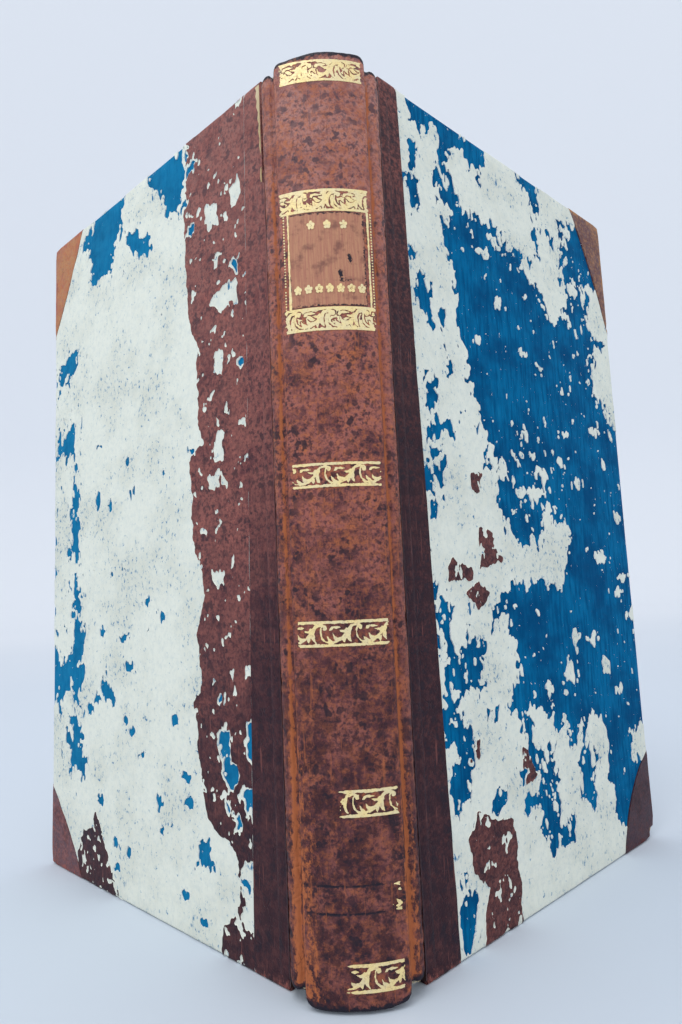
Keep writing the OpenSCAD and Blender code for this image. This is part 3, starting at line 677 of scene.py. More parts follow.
def plain_paper(name, shade, depth=0.04, foxing=0.5, source="flat"):
    """Old rag paper with foxing and darker edges."""
    c = settings().colours
    f = Finish(name, 0.85, source)
    ground = f.over(shade, c.page, f.clouds(18, 3), 0.4, 0.7, 0.5)
    ground = f.over(ground, c.rubbed, f.clouds(2.4, 5, 0.65), 0.66, 0.76, foxing)
    ground = f.mix(0.6 * f.worn(), ground, c.hemp)
    fibres = f.clouds(0.6, 4, 0.7, f.stretched((1, 0.4, 1)))
    return f.done(ground, fibres + f.clouds(3, 3), depth, 0.6)


def leaf_edges(name):
    """Cut edges of leaves, with faint sprinkling and dust."""
    c = settings().colours
    f = Finish(name, 0.88, "object")
    layers = f.clouds(0.16, 2, at=f.stretched((1, 0.03, 0.03)))
    ground = f.over(c.page, c.hemp, layers, 0.4, 0.6, 0.6)
    ground = f.over(ground, c.endpaper, f.clouds(10, 4), 0.4, 0.7, 0.45)
    ground = f.over(ground, c.calf_dark, f.clouds(1.1, 4), 0.66, 0.72, 0.35)
    return f.done(ground, layers, 0.05, 0.6)


def pasteboard(name):
    """Grey-brown layers of pasted paper, stained dark beside a joint that is whole."""
    c = settings().colours
    f = Finish(name, 0.9, "object")
    layers = f.clouds(0.4, 3, at=f.stretched((1, 1, 0.05)))
    ground = f.over(c.board, c.hemp, layers, 0.35, 0.65)
    ground = f.over(ground, c.calf_dark, f.clouds(1.5, 5), 0.55, 0.7, 0.5)
    x, y, z = f.node("SeparateXYZ", {0: f.at}).outputs
    joint = f.steps(y, HINGE_Y + 4, HINGE_Y + 2, 0, 0.95)
    whole = f.math("MAXIMUM", f.math("GREATER_THAN", x, 0.0), f.steps(z, 152, 146))
    ground = f.mix(joint * whole, ground, c.maroon_dark)
    return f.done(ground, layers, 0.08, 0.7)


def twisted(name, shade, dark, turn=0.8):
    """Twisted cord or thread."""
    f = Finish(name, 0.8, "object")
    strands = f.value("Fac", "TexWave", {"Vector": f.stretched((1, 1, 1), turn), "Scale": 0.9,
                                         "Distortion": 2.0, "Detail": 2.0}, bands_direction="DIAGONAL")
    ground = f.over(dark, shade, strands, 0.1, 0.6)
    return f.done(ground, strands + f.clouds(0.2, 3), 0.08, 0.8)


def studio_floor(name):
    """Pale seamless paper, painted darker near the book as painted shade and paler towards the backdrop.
    """
    f = Finish(name, 0.95, "object")
    c = settings().colours
    away = f.value("Y", "SeparateXYZ", {0: f.at}) + 200 * f.clouds(500, 2)
    return f.done(f.over(c.painted_floor_shade, c.floor, away, -100, 1500), None)


# Torn paper, drawn on a cover of 92 by 170 mm: u from the joint, z from the tail
DRAWN = (92, 170)
FRONT_CREAM = [
    [(4, 171), (8, 171), (10, 158), (11, 165), (16, 166), (18, 159), (17, 152), (21, 146), (19, 140),
     (22, 133), (20, 126), (22, 119), (23, 111), (27, 107), (28, 98), (31, 91), (33, 79), (41, 76),
     (48, 78), (53, 84), (58, 83), (62, 80), (60, 73), (52, 66), (45, 68), (34, 68), (31, 62), (34, 56),
     (34, 48), (29, 42), (38, 38), (50, 37), (55, 31), (63, 36), (71, 31), (70, 20), (73, 10), (78, 2),
     (80, -6), (4, -6)],
    [(20, 160), (26, 166), (33, 162), (39, 175), (50, 172), (57, 158), (55, 152), (50, 146), (41, 145),
     (35, 152), (28, 152), (23, 152)],
    [(60, 175), (76, 175), (77, 166), (70, 156), (67, 147), (71, 138), (66, 136), (60, 131), (57, 138),
     (54, 146), (58, 157)],
    [(80, 150), (86, 150), (91, 147), (92, 140), (98, 132), (98, 104), (89, 108), (84, 116), (82, 128),
     (80, 140)],
    [(84, 28), (90, 30), (98, 27), (98, 20), (88, 20), (84, 22)]]
FRONT_BLUE = [
    [(9, 110), (13, 109), (13, 102), (11, 97), (8, 100)],
    [(8.5, 68), (12, 66), (13, 58), (20, 55), (21, 48), (15, 45), (14, 36), (10.5, 38), (9.5, 56)],
    [(11, 13), (14, 10), (15, 3), (12, 2)],
    [(37, 30), (44, 27), (47, 18), (52, 12), (48, 9), (41, 14), (38, 20)],
    [(56, 24), (60, 27), (63, 22), (62, 14), (58, 15)],
    [(26, 63), (31, 65), (32, 61), (28, 59)]]
FRONT_BROWN = [
    [(22, 91), (26, 91), (25, 88), (22, 87)],
    [(24, 79), (28, 78), (28, 75), (31, 73), (26, 71), (23, 71)],
    [(14, 73), (20, 71), (20, 69), (13, 69)],
    [(18, 66), (22, 68), (26, 66), (22, 63)],
    [(15, 38), (19, 37), (18, 34), (14, 34)],
    [(34, 33), (38, 32), (38, 27), (34, 26)],
    [(14, 20), (17, 24), (21, 22), (28, 20), (29, 12), (29, -4), (17, -4), (18, 6), (20, 10), (15, 14)]]
BACK_BLUE = [
    [(55, 174), (72, 169), (75, 165), (70, 160), (69, 152), (60, 151), (58, 157), (54, 161)],
    [(53, 160), (48, 158), (42, 151), (47, 151), (52, 157)],
    [(43, 174), (41, 166), (36, 161), (33, 157), (29, 152), (27, 160), (27, 166), (30, 174)],
    [(98, 137), (90, 131), (86, 134), (80, 137), (79, 134), (84, 128), (92, 126), (98, 128)],
    [(89, 112), (84, 113), (80, 117), (77, 116), (79, 110), (79, 104), (82, 107), (88, 109)],
    [(98, 108), (91, 103), (90, 98), (98, 97)],
    [(80, 100), (78, 100), (77.5, 80), (76, 70), (76.5, 45), (75.5, 25), (80, 25), (83, 32), (80, 40),
     (82, 46), (88, 40), (98, 39), (98, 57), (91, 59), (88, 51), (81, 51), (80, 62), (81, 70),
     (79.5, 84)],
    [(64, 50), (61, 46), (59, 44), (64, 44)],
    [(27, 20), (23, 19), (22, 15), (27, 14)],
    [(19, 42), (15, 42), (16, 37), (13, 33), (16, 32), (19, 37)],
    [(9, 43), (7, 41), (7, 37), (10, 37)],
    [(11, 31), (7, 32), (5.8, 25), (8, 23), (10, 27)],
    [(12, 15), (8, 15), (6.5, 11), (9, 11)]]
BACK_BROWN = [
    [(0, 175), (26, 175), (26, 160), (27, 150), (27, 140), (26, 128), (23, 121), (23, 105), (22, 100),
     (27, 97), (26, 85), (25, 78), (22, 68), (25, 60), (24, 50), (26, 45), (25, 35), (23, 24), (14, 20),
     (13, 11), (18, 5), (19, -5), (0, -5)],
    [(54, -5), (62, 7), (68, 17), (70, 13), (74, 12), (77, 6), (76, -5)]]
BACK_BARE = [
    [(15, 150), (19, 152), (20, 147), (15, 146)],
    [(8, 153), (11, 151), (9, 148), (7, 149)],
    [(15, 140), (18, 139), (17, 135), (15, 136)],
    [(10, 131), (15, 132), (19, 129), (14, 126), (10, 127)],
    [(14, 118), (17, 118), (17, 114), (15, 113)],
    [(15, 101), (17, 101), (18, 95), (15, 95)],
    [(17, 93), (20, 92), (20, 90), (16, 90)],
    [(16, 72), (19, 72), (19, 70), (16, 70)],
    [(7, 19), (10, 21), (12, 17), (12, 9), (8, 6), (6.5, 9)]]
CORNER_H = {"front": {"head": 34, "tail": 22}, "back": {"head": 27, "tail": 20}}
CORNER_BOW = {"front": {"head": -1.5, "tail": 3}, "back": {"head": 0.5, "tail": 1}}
CORNER_R = {"front": {"head": 1.6, "tail": 5}, "back": {"head": 1.6, "tail": 1.6}}
BEND_ROWS, TURN_ROWS = 5, 4     # grid lines round an edge of a board, and over a turned-in border
PAST_END, PAST_SIDE = 40, 60    # well beyond the turned-in parts
STRIP_PAST = 9                  # how far the edge of the strip is followed beyond the board
FIELD_PAST = 2.5                # how far the fields of the tears reach past a board


class Cover:
    """One cover: lays flat drawings of u from the joint and z from the tail on its surface."""

    def __init__(self, face):
        s = settings().covers
        self.face, self.mirror, self.angle = face, FACES[face], s.open_angle
        reach = abs(corners(face + "_head_corner")[int(face == "front")][0])
        self.width = (reach - HINGE_X) / math.sin(self.angle)
        self.thick, self.round, self.gap = mm(s.thick), mm(s.edge_round), mm(s.joint_gap)
        self.turn_in, self.cockle = mm(s.turn_in), mm(s.cockle)
        self.strip = mm(s.strip_tail), mm(s.strip_head)
        self.arc = self.round * math.pi / 2
        self.wall = self.thick - 2 * self.round
        self.over = 2 * self.arc + self.wall

    def world(self, u, z, depth):
        """Places in the book of points at a depth below the leather face."""
        x = HINGE_X + u * math.sin(self.angle) - depth * math.cos(self.angle)
        y = HINGE_Y + u * math.cos(self.angle) + depth * math.sin(self.angle)
        return np.stack([x * self.mirror, y, z + 0 * x], axis=-1)

    def edge(self, u, z):
        """Distance in from the outline of the cover, and the way out to it."""
        head = z > BOOK_H / 2
        r = np.where(head, CORNER_R[self.face]["head"], CORNER_R[self.face]["tail"])
        up = np.where(head, 1, -1)
        du = u - (self.width - r)
        dz = np.where(head, z - (BOOK_H - r), r - z)
        far = np.hypot(du, dz)
        bend = (du > 0) & (dz > 0)
        side = (r - du < r - dz) & ~bend
        far = np.where(far > 0, far, 1)
        distance = np.where(bend, r - far, np.minimum(r - du, r - dz))
        out_u = np.where(bend, du / far, np.where(side, 1, 0))
        out_z = np.where(bend, dz / far, np.where(side, 0, 1)) * up
        return distance, out_u, out_z, bend, r

    def wrapped(self, u, z, depth):
        """Bends a flat drawing round the edges of the cover, and gives u, z and depth there."""
        inward, out_u, out_z, _, _ = self.edge(u, z)
        run = self.round - inward
        turn = np.clip(run / self.round, 0, math.pi / 2)
        back = np.clip((run - self.arc - self.wall) / self.round, 0, math.pi / 2)
        r = self.round - depth
        inner_r = self.round - depth * (1 - 0.6 * back / (math.pi / 2))
        face = run <= self.arc + self.wall / 2
        new = np.where(face, self.round - r * np.sin(turn), self.round - inner_r * np.cos(back))
        new = np.where(run <= 0, inward, np.where(run > self.over, self.round + run - self.over, new))
        down = np.clip(run - self.arc, 0, self.wall)
        deep = np.where(face, self.round - r * np.cos(turn) + down,
                        self.thick - self.round + inner_r * np.sin(back) + down - self.wall)
        deep = np.where(run <= 0, depth, deep)
        return u + out_u * (inward - new), z + out_z * (inward - new), deep

    def relief(self, u, z):
        """Waves of the surface."""
        return self.cockle * (noise(u, z, 24, 3, 2) + 0.5 * noise(u, z, 7, 5))

    def surface(self, outer, inner, relief=None):
        """Where a sheet between two depths lies."""
        def place(u, z, back):
            depth = inner if back else outer - (relief(u, z) if relief else 0)
            return self.world(*self.wrapped(u, z, depth - self.relief(u, z)))
        return place

    def lines(self, low, high, step=2.2):
        """Grid lines across the face, close together where the sheet bends round an edge."""
        bend = np.concatenate([np.linspace(0, self.arc, BEND_ROWS), [self.arc + self.wall / 2],
                               np.linspace(self.arc + self.wall, self.over, BEND_ROWS),
                               np.linspace(self.over, self.over + self.turn_in - self.round,
                                           TURN_ROWS)[1:]])
        flat = np.linspace(low, high, round((high - low) / step))
        return flat[1:-1], bend

    def grid(self):
        """Points of the flat drawing of all that wraps the cover."""
        flat, bend = self.lines(self.gap, self.width - self.round)
        us = np.concatenate([[self.gap], flat, self.width - self.round + bend])
        flat, bend = self.lines(self.round, BOOK_H - self.round)
        zs = np.concatenate([(self.round - bend)[::-1], flat, BOOK_H - self.round + bend])
        u, z = np.meshgrid(us, zs)
        keep = self.usable(u, z, 0.02)
        return np.stack([u[keep], z[keep]], axis=1)

    def usable(self, u, z, slack=0.0):
        """True where the drawing is in use: the turned-in corners are mitred."""
        inward, _, _, bend, r = self.edge(u, z)
        inner = -inward - (self.over - 2 * self.round)
        other = np.where(u > self.width, np.minimum(z, BOOK_H - z), self.width - u)
        room = np.minimum(self.turn_in, np.where(bend, r, other))
        return inner <= room + slack

    def mitres(self):
        """Lines along which the turned-in corners are cut."""
        paths = []
        start = self.over - 2 * self.round
        for end, up, base in (("head", 1, BOOK_H), ("tail", -1, 0)):
            r = CORNER_R[self.face][end]
            t = min(r, self.turn_in)
            turns = np.radians(np.linspace(0, 90, 13))
            far = r + start + t
            arc = [(self.width - r + far * math.cos(a), base + up * (far * math.sin(a) - r))
                   for a in turns]
            top = start + self.turn_in
            paths.append([(self.width + top, base - up * self.turn_in), *arc,
                          (self.width - self.turn_in, base + up * top)])
        return paths

    def strip_edge(self, z):
        """Edge of the leather strip."""
        tail, head = self.strip
        return tail + (head - tail) * z / BOOK_H + 0.07 * noise(z, 0 * z, 5, 8 + self.mirror)

    def corner_edge(self, end):
        """Inner edge of a leather corner, which runs on past the edges of the board."""
        h, bow = CORNER_H[self.face][end], CORNER_BOW[self.face][end]
        w = mm(settings().covers.corner_w)
        t = np.linspace(-0.6, 1.7, 60)
        side = math.hypot(w, h)
        lean = 4 * bow * t * (1 - t)
        lean = lean + 0.12 * noise(t * side, 0 * t, 3, 40 + h, 2)
        u = self.width - w + t * w - lean * h / side
        z = t * h + lean * w / side
        return list(zip(u.tolist(), (z if end == "tail" else BOOK_H - z).tolist()))

    def corner_outline(self, end):
        """The leather corner with its turned-in parts."""
        edge = self.corner_edge(end)
        far = -PAST_END if end == "tail" else BOOK_H + PAST_END
        side = self.width + PAST_SIDE
        return [*edge, (side, edge[-1][1]), (side, far), (edge[0][0], far)]

    def part(self, u, z):
        """What wraps a place: 0 is paper, 1 the strip, 2 the head corner and 3 the tail corner."""
        which = np.where(u < self.strip_edge(z), 1, 0)
        which = np.where(inside(self.corner_outline("head"), u, z) > 0, 2, which)
        return np.where(inside(self.corner_outline("tail"), u, z) > 0, 3, which)

    def wrapping(self, part, outer, inner, relief, mark):
        """One of the parts that wrap the board, as part() numbers them."""
        points = self.grid().tolist()
        edges = []
        zs = np.linspace(-STRIP_PAST, BOOK_H + STRIP_PAST, 130)
        paths = [list(zip(self.strip_edge(zs).tolist(), zs.tolist())), self.corner_edge("head"),
                 self.corner_edge("tail"), *self.mitres()]
        for path in paths:
            start = len(points)
            points.extend(path)
            edges.extend((start + i, start + i + 1) for i in range(len(path) - 1))
        shape = Shape()
        shape.add_sheet(points, edges, lambda u, z: (self.part(u, z) == part) & self.usable(u, z)
                        & (u > self.gap), self.surface(outer, inner, relief), (0, 0), mark,
                        self.mirror < 0)
        return shape


def sampled(field, xs, zs, u, z):
    """Value of a field between the points of its grid."""
    i = np.clip((u - xs[0]) / (xs[1] - xs[0]), 0, len(xs) - 1.001)
    j = np.clip((z - zs[0]) / (zs[1] - zs[0]), 0, len(zs) - 1.001)
    a, b = i.astype(int), j.astype(int)
    fi, fj = i - a, j - b
    return ((field[a, b] * (1 - fj) + field[a, b + 1] * fj) * (1 - fi)
            + (field[a + 1, b] * (1 - fj) + field[a + 1, b + 1] * fj) * fi)


def drawn(outlines, cover, u, z):
    """Distance to the nearest outline, stretched to the cover, above zero inside one of them."""
    su, sz = cover.width / DRAWN[0], BOOK_H / DRAWN[1]
    return np.max([inside([(a * su, b * sz) for a, b in outline], u, z) for outline in outlines],
                  axis=0)


# Places where the tears are finest: middle, reach, and how much rougher they are
FRONT_BROKEN = [(12, 60, 16, 0.8), (14, 100, 14, 0.8), (12, 150, 12, 0.7), (48, 24, 20, 1.0),
                (62, 150, 20, 1.1), (44, 92, 14, 1.3), (84, 118, 14, 1.0), (40, 150, 10, 0.3),
                (22, 38, 14, 1.1)]
BACK_BROKEN = [(88, 120, 16, 1.2), (88, 85, 14, 1.1), (84, 55, 12, 0.9), (66, 160, 12, 0.6),
               (84, 30, 14, 1.0), (30, 164, 12, 0.5)]
# Single specks: middle, length along u, height along z. Cream on the front, blue on the back
FRONT_SPECKS = [(59, 97, 3.4, 2.6), (67, 92, 4.6, 2.2), (46, 122, 3, 2), (51, 93, 3, 3),
                (44, 102, 3, 2), (88, 84, 4, 2.4), (76, 73, 6, 2.4), (83, 64, 4, 1.6), (88, 68, 5, 2.4),
                (74, 46, 4, 4), (68, 53, 4, 3), (60, 54, 3, 4), (56, 47, 4, 5), (79, 107, 4, 2),
                (62, 104, 4, 1.6), (53, 120, 2, 1.4), (33, 143, 5, 1.6), (38, 132, 2.6, 1.4),
                (47, 88, 6, 3), (40, 88, 3, 3), (80, 39, 2.4, 3), (82, 98, 3, 2), (46, 44, 3, 2.4),
                (91, 58, 6, 4), (73, 145, 5, 3), (67, 137, 4, 3), (90, 118, 7, 4), (62, 116, 2, 1.4),
                (34, 92, 3, 5), (28, 121, 2, 2)]
BACK_SPECKS = [(67, 93, 3, 4), (61, 91, 2, 2), (50, 93, 3, 2.4), (53, 101, 2.4, 1.4),
               (66, 107, 2.4, 1.2), (37, 96, 1.4, 1.4), (54, 75, 2.6, 2), (60, 74, 2, 1.4),
               (45, 67, 3, 1.8), (38, 64, 2.4, 1.8), (65, 60, 2, 2.4), (55, 59, 4, 2), (52, 52, 4, 2.4),
               (63, 46, 4, 3), (68, 44, 3, 3), (71, 41, 3, 3), (54, 40, 2.4, 2), (51, 38, 1.8, 1.4),
               (34, 42, 2.4, 2.4), (30, 31, 3, 1.8), (29, 26, 3, 2), (40, 24, 1.6, 3), (40, 18, 3, 1.6),
               (34, 20, 2, 1.4), (66, 20, 3, 4), (58, 12, 3, 1.8), (53, 11, 2.4, 2.4),
               (58, 7, 2.4, 2.4), (31, 8, 2, 1.4), (25, 4, 3, 1.8), (24, 17, 4, 4), (47, 33, 1.8, 1.2),
               (92, 66, 5, 3), (92, 76, 4, 4), (91, 85, 3, 3), (83, 81, 3, 3), (26, 99, 2, 1.6),
               (24, 163, 4, 2), (25, 148, 2.4, 1.8), (10, 135, 3, 4), (8, 114, 3.4, 2.4),
               (4.5, 101, 2, 1), (12, 131, 1.6, 2), (17, 48, 3, 2), (16, 27, 3, 3), (13, 25, 2, 3),
               (4.6, 30, 2, 3)]


def specks(places, u, z, cover):
    """Distance inside the nearest of many small specks."""
    best = np.full(np.shape(u), -9.0)
    for at_u, at_z, wide, tall in places:
        at_u, at_z = at_u * cover.width / DRAWN[0], at_z * BOOK_H / DRAWN[1]
        away = np.hypot((u - at_u) / wide * 2, (z - at_z) / tall * 2)
        best = np.maximum(best, (1 - away) * min(wide, tall) / 2)
    return best


def frayed(u, z, sizes, seed):
    """How far a tear wanders, from waves of several sizes."""
    return sum(reach * noise(u, 0.6 * z, size, seed + k) for k, (size, reach) in enumerate(sizes))


# Blue streaks within the torn paper near the strip of the front cover
FRONT_STREAKS = [(9.5, 157, 1.8, 11), (8.6, 147, 1.7, 7), (11, 126, 4.4, 9), (16.5, 124, 1.4, 5),
                 (8, 88, 2.6, 4), (12.5, 92, 3.4, 5), (10, 82, 2.2, 6), (16, 100, 1.8, 2.4),
                 (20, 104, 3, 2), (18, 112, 2.2, 3), (21, 117, 1.8, 4), (27, 101, 2, 2.6),
                 (12.5, 30, 4, 12), (17, 36, 2.4, 3), (25, 42, 4, 2.4), (22, 56, 2.4, 3),
                 (30, 45, 1.8, 4), (28, 27, 2, 1.8), (24, 25, 2.4, 1.8), (34, 28, 4, 1.8),
                 (41, 32, 3, 2), (35, 22, 3, 1.6), (56, 41, 1.8, 5), (12, 165, 2, 3),
                 (7.5, 136, 1.4, 3), (9, 62, 2, 4), (19, 62, 2.4, 2), (63, 158, 3, 2), (70, 163, 5, 2),
                 (73, 150, 4, 2), (46, 41, 3, 1.6), (60, 33, 2, 3), (66, 26, 2, 4), (12, 8, 3, 8),
                 (86, 133, 4, 2), (93, 118, 4, 2)]


def front_tears(cover, u, z, fine, rough, ragged, scattered):
    """What is left of the torn paper and of its brown face on the front cover."""
    paper = drawn(FRONT_CREAM, cover, u, z)
    paper = np.minimum(paper, -drawn(FRONT_BLUE, cover, u, z))
    paper = np.minimum(0.65 * paper, -specks(FRONT_STREAKS, u, z, cover)) + ragged
    paper = np.minimum(paper, np.maximum(-scattered, 4 - paper))
    paper = np.maximum(paper, specks(FRONT_SPECKS, u, z, cover) + 0.7 * fine)
    paper = np.maximum(paper, np.minimum(scattered, paper + 14))
    return paper, drawn(FRONT_BROWN, cover, u, z) + 0.3 * rough + 0.3


def back_tears(cover, u, z, fine, rough, ragged, scattered):
    """The same on the back cover, where both still hold in places along the strip."""
    bound = 1.6 * smooth(2.2, 0.2, u - cover.strip_edge(z)) * smooth(0, 0.5, wander(z, 7, 74, 2))
    paper = -0.7 * drawn(BACK_BLUE, cover, u, z) + ragged - 0.1
    paper = np.minimum(paper, -specks(BACK_SPECKS, u, z, cover) - 0.6 * fine)
    paper = np.minimum(paper, 0.25 - scattered) + 0.5 * smooth(25, 20, u)
    skin = drawn(BACK_BROWN, cover, u, z) + 0.3 * rough
    skin = np.minimum(skin, -drawn(BACK_BARE, cover, u, z) + 0.6 * rough)
    holes = noise(u, 0.8 * z, 2.6, 72, 3) - 0.4 + 0.12 * smooth(50, 30, z)
    return paper + bound, np.minimum(skin, -2.2 * holes) + bound


def tears(cover, coarse=1):
    """Fields of the torn paper and of its brown face, above zero where they are left."""
    step = coarse * mm(settings().covers.tear_grain)
    us = np.arange(2, cover.width + FIELD_PAST, step)
    zs = np.arange(-FIELD_PAST, BOOK_H + FIELD_PAST + step, step)
    u, z = np.meshgrid(us, zs, indexing="ij")
    front = cover.face == "front"
    fine = frayed(u, z, [(2.2, 1.4), (1.15, 1.25), (0.65, 0.7)], 61)
    rough = frayed(u, z, [(8, 1.4), (3.8, 1.7)], 65) + fine
    broken = 0.75 + sum(more * np.exp(-((u - mid_u) ** 2 + (z - mid_z) ** 2) / reach ** 2)
                        for mid_u, mid_z, reach, more in (FRONT_BROKEN if front else BACK_BROKEN))
    scattered = 2 * (noise(u, 0.7 * z, 2.4, 68, 3) - 0.58) + 0.6 * np.clip(broken - 0.75, 0, 0.9)
    torn = front_tears if front else back_tears
    paper, skin = torn(cover, u, z, fine, rough, 0.8 * rough * broken, scattered)
    inward = cover.edge(u, z)[0]
    limit = np.minimum(u - cover.strip_edge(z) - 0.05, inward + 1.2 + 0.5 * noise(u, z, 2.5, 70, 3))
    for end in ("head", "tail"):
        limit = np.minimum(limit, -inside(cover.corner_outline(end), u, z) - 0.05)
    rim = 0.45 + 0.3 * noise(u, z, 1.5, 71, 2)
    skin = np.minimum(np.minimum(skin, paper - rim), limit)
    paper = np.minimum(paper, limit)
    for field in (paper, skin):
        field[[0, -1], :] = field[:, [0, -1]] = -1
    return us, zs, paper, skin


def torn_layer(cover, shape, field, us, zs, outer, inner, slots, mark):
    """Adds one torn layer to a shape."""
    points, edges = contour(field, us, zs)
    grid = cover.grid()
    near = sampled(field, us, zs, grid[:, 0], grid[:, 1]) > 0.25
    within = (grid[:, 0] > us[0]) & (grid[:, 0] < us[-1]) & (grid[:, 1] > zs[0]) & (grid[:, 1] < zs[-1])
    points.extend(grid[near & within].tolist())

    def lift(u, z):
        edge = smooth(1.6, 0.1, sampled(field, us, zs, u, z))
        return 0.1 * edge * smooth(-0.2, 0.6, noise(u, z, 6, 90))
    shape.add_sheet(points, edges, lambda u, z: sampled(field, us, zs, u, z) > 0,
                    cover.surface(outer, inner, lift), slots, mark, cover.mirror < 0)


class BookOperator:
    """What the book's operators share."""
    bl_options = {"REGISTER", "UNDO"}


def strip_leather(face, name):
    """Leather of the strip and the joint of one cover, darker towards the tail, partly by stains and
    partly by painted shade; the back one also has a painted sheen towards the head.
    """
    c = settings().colours
    if face == "front":
        return mottled_leather(name, c.maroon, c.maroon_dark, c.calf, 0.9, (180, 90, 0.75))
    return mottled_leather(name, c.brown, c.calf_dark, c.calf, 0.8, (110, 40, 0.8), 0.3)


class BOOK_OT_wrappings(BookOperator, bpy.types.Operator):
    """Cover the boards with leather strips, leather corners and blue side paper"""
    bl_idname = "book.wrappings"
    bl_label = "Leather and Side Paper"

    def execute(self, context):
        s, c = settings().covers, settings().colours
        leathers = {"front_strip": strip_leather("front", "maroon_leather"),
                    "back_strip": strip_leather("back", "brown_leather")}
        for key, *finish in (("head_corner", "brown_corner_leather", c.maroon, c.mauve, c.tan, 0.2),
                             ("tail_corner", "mauve_corner_leather", c.mauve, c.maroon, c.calf, 0.25),
                             ("front_tail", "plum_corner_leather", c.plum, c.maroon_dark, c.maroon, 0.25),
                             ("tan_corner", "tan_corner_leather", c.tan, c.rubbed, c.calf, 0.1)):
            leathers[key] = mottled_leather(*finish)
        blue = {"front": blue_paper("front_blue_paper", 0.1), "back": blue_paper("back_blue_paper", 0.75)}
        inner = mm(s.leather_t)
        for face in FACES:
            cover = Cover(face)
            us, zs, paper, _ = tears(cover, 5)

            def leather_worn(u, z):
                edge = smooth(1.6, 0.2, np.abs(cover.edge(u, z)[0] - 0.2))
                return np.clip(edge * (0.55 + 0.5 * noise(u, z, 4, 20, 2)), 0, 1)

            def paper_worn(u, z):
                near = smooth(-7, 0.5, sampled(paper, us, zs, u, z))
                return np.clip(0.75 * near + leather_worn(u, z), 0, 1)

            def leather_relief(u, z):
                return 0.05 * noise(u, z, 3.2, 25, 2)

            for part, name in ((1, "leather_strip"), (2, "head_corner"), (3, "tail_corner")):
                shape = cover.wrapping(part, 0, inner, leather_relief, leather_worn)
                special = {("back", 2): "tan_corner", ("front", 3): "front_tail"}
                key = face + "_strip" if part == 1 else special.get((face, part), name)
                slot = "strip_leather" if part == 1 else "corner_leather"
                shape.dress(f"{face}_{name}", [leathers[key]], f"{face}_cover", slot)
            shape = cover.wrapping(0, inner - mm(s.paper_t), inner, None, paper_worn)
            shape.dress(f"{face}_side_paper", [blue[face]], f"{face}_cover", "blue_paper")
        return {"FINISHED"}


class BOOK_OT_torn_paper(BookOperator, bpy.types.Operator):
    """Lay the torn cream paper and its brown face over the blue"""
    bl_idname = "book.torn_paper"
    bl_label = "Torn Paper"

    def execute(self, context):
        s, c = settings().covers, settings().colours
        materials = [torn_paper("torn_paper"), torn_edge("torn_edge")]
        # The back brown face darkens towards the tail, partly stains and partly painted shade, and has a
        # painted sheen towards the head
        browns = {"front": mottled_leather("front_brown_face", c.maroon, c.maroon_dark, c.brown, 0.5),
                  "back": mottled_leather("back_brown_face", c.brown, c.calf_dark, c.calf, 0.8,
                                          (90, 10, 0.75), 0.3)}
        for face in FACES:
            cover = Cover(face)
            us, zs, paper, skin = tears(cover)
            shape = Shape()
            top = mm(s.leather_t - s.paper_t)
            middle = top - mm(s.torn_t)
            torn_layer(cover, shape, paper, us, zs, middle, top, (0, 1),
                       lambda u, z: smooth(6, 0.5, sampled(paper, us, zs, u, z)))
            torn_layer(cover, shape, skin, us, zs, middle - mm(s.skin_t), middle, (2, 1), None)
            shape.dress(f"{face}_torn_paper", [*materials, browns[face]], f"{face}_cover", "torn_paper")
        return {"FINISHED"}


# Half section of the spine leather beyond its rounded panel: over the edge, into
# the channel, over the rubbed ridge and down to the joint
PANEL_EDGE_X = 8.2
RIDGE_PATH = [(8.5, -5.4), (8.68, -5.1), (8.76, -4.6), (8.88, -4.2), (9.12, -4.06), (9.4, -4.13),
              (9.8, -4.17), (10.3, -4.0), (10.8, -3.62), (11.18, -3.06), (11.38, -2.4), (11.42, -1.2),
              (11.42, -0.02)]
INNER_PATH = [(8.16, -4.6), (8.5, -3.8), (9.0, -3.4), (9.72, -3.4), (10.4, -3.1), (10.62, -2.5),
              (10.62, -0.05)]
PANEL_HALF = 8.72   # from the middle of the panel to its side
# Places along the section, measured from its middle
PANEL_SIDE, CHANNEL, GROOVE = 8.9, 9.55, 9.75
BACK_RIDGE, FRONT_RIDGE = 10.7, 10.1
# Heights of the lines pressed in without gold, and of the gilt bands as a share of the
# height, each with the places where its gold starts and stops
BLIND_LINES = (15.3, 19.6)
BANDS = [(0.961, -7.5, 7.9), (0.807, -8.3, 7.9), (0.673, -7.9, 8.3), (0.505, -7.7, 7.9),
         (0.343, -7.8, 7.9), (0.179, -2.6, 7.9), (0.090, 5.9, 7.7), (0.020, -2.4, 7.6)]


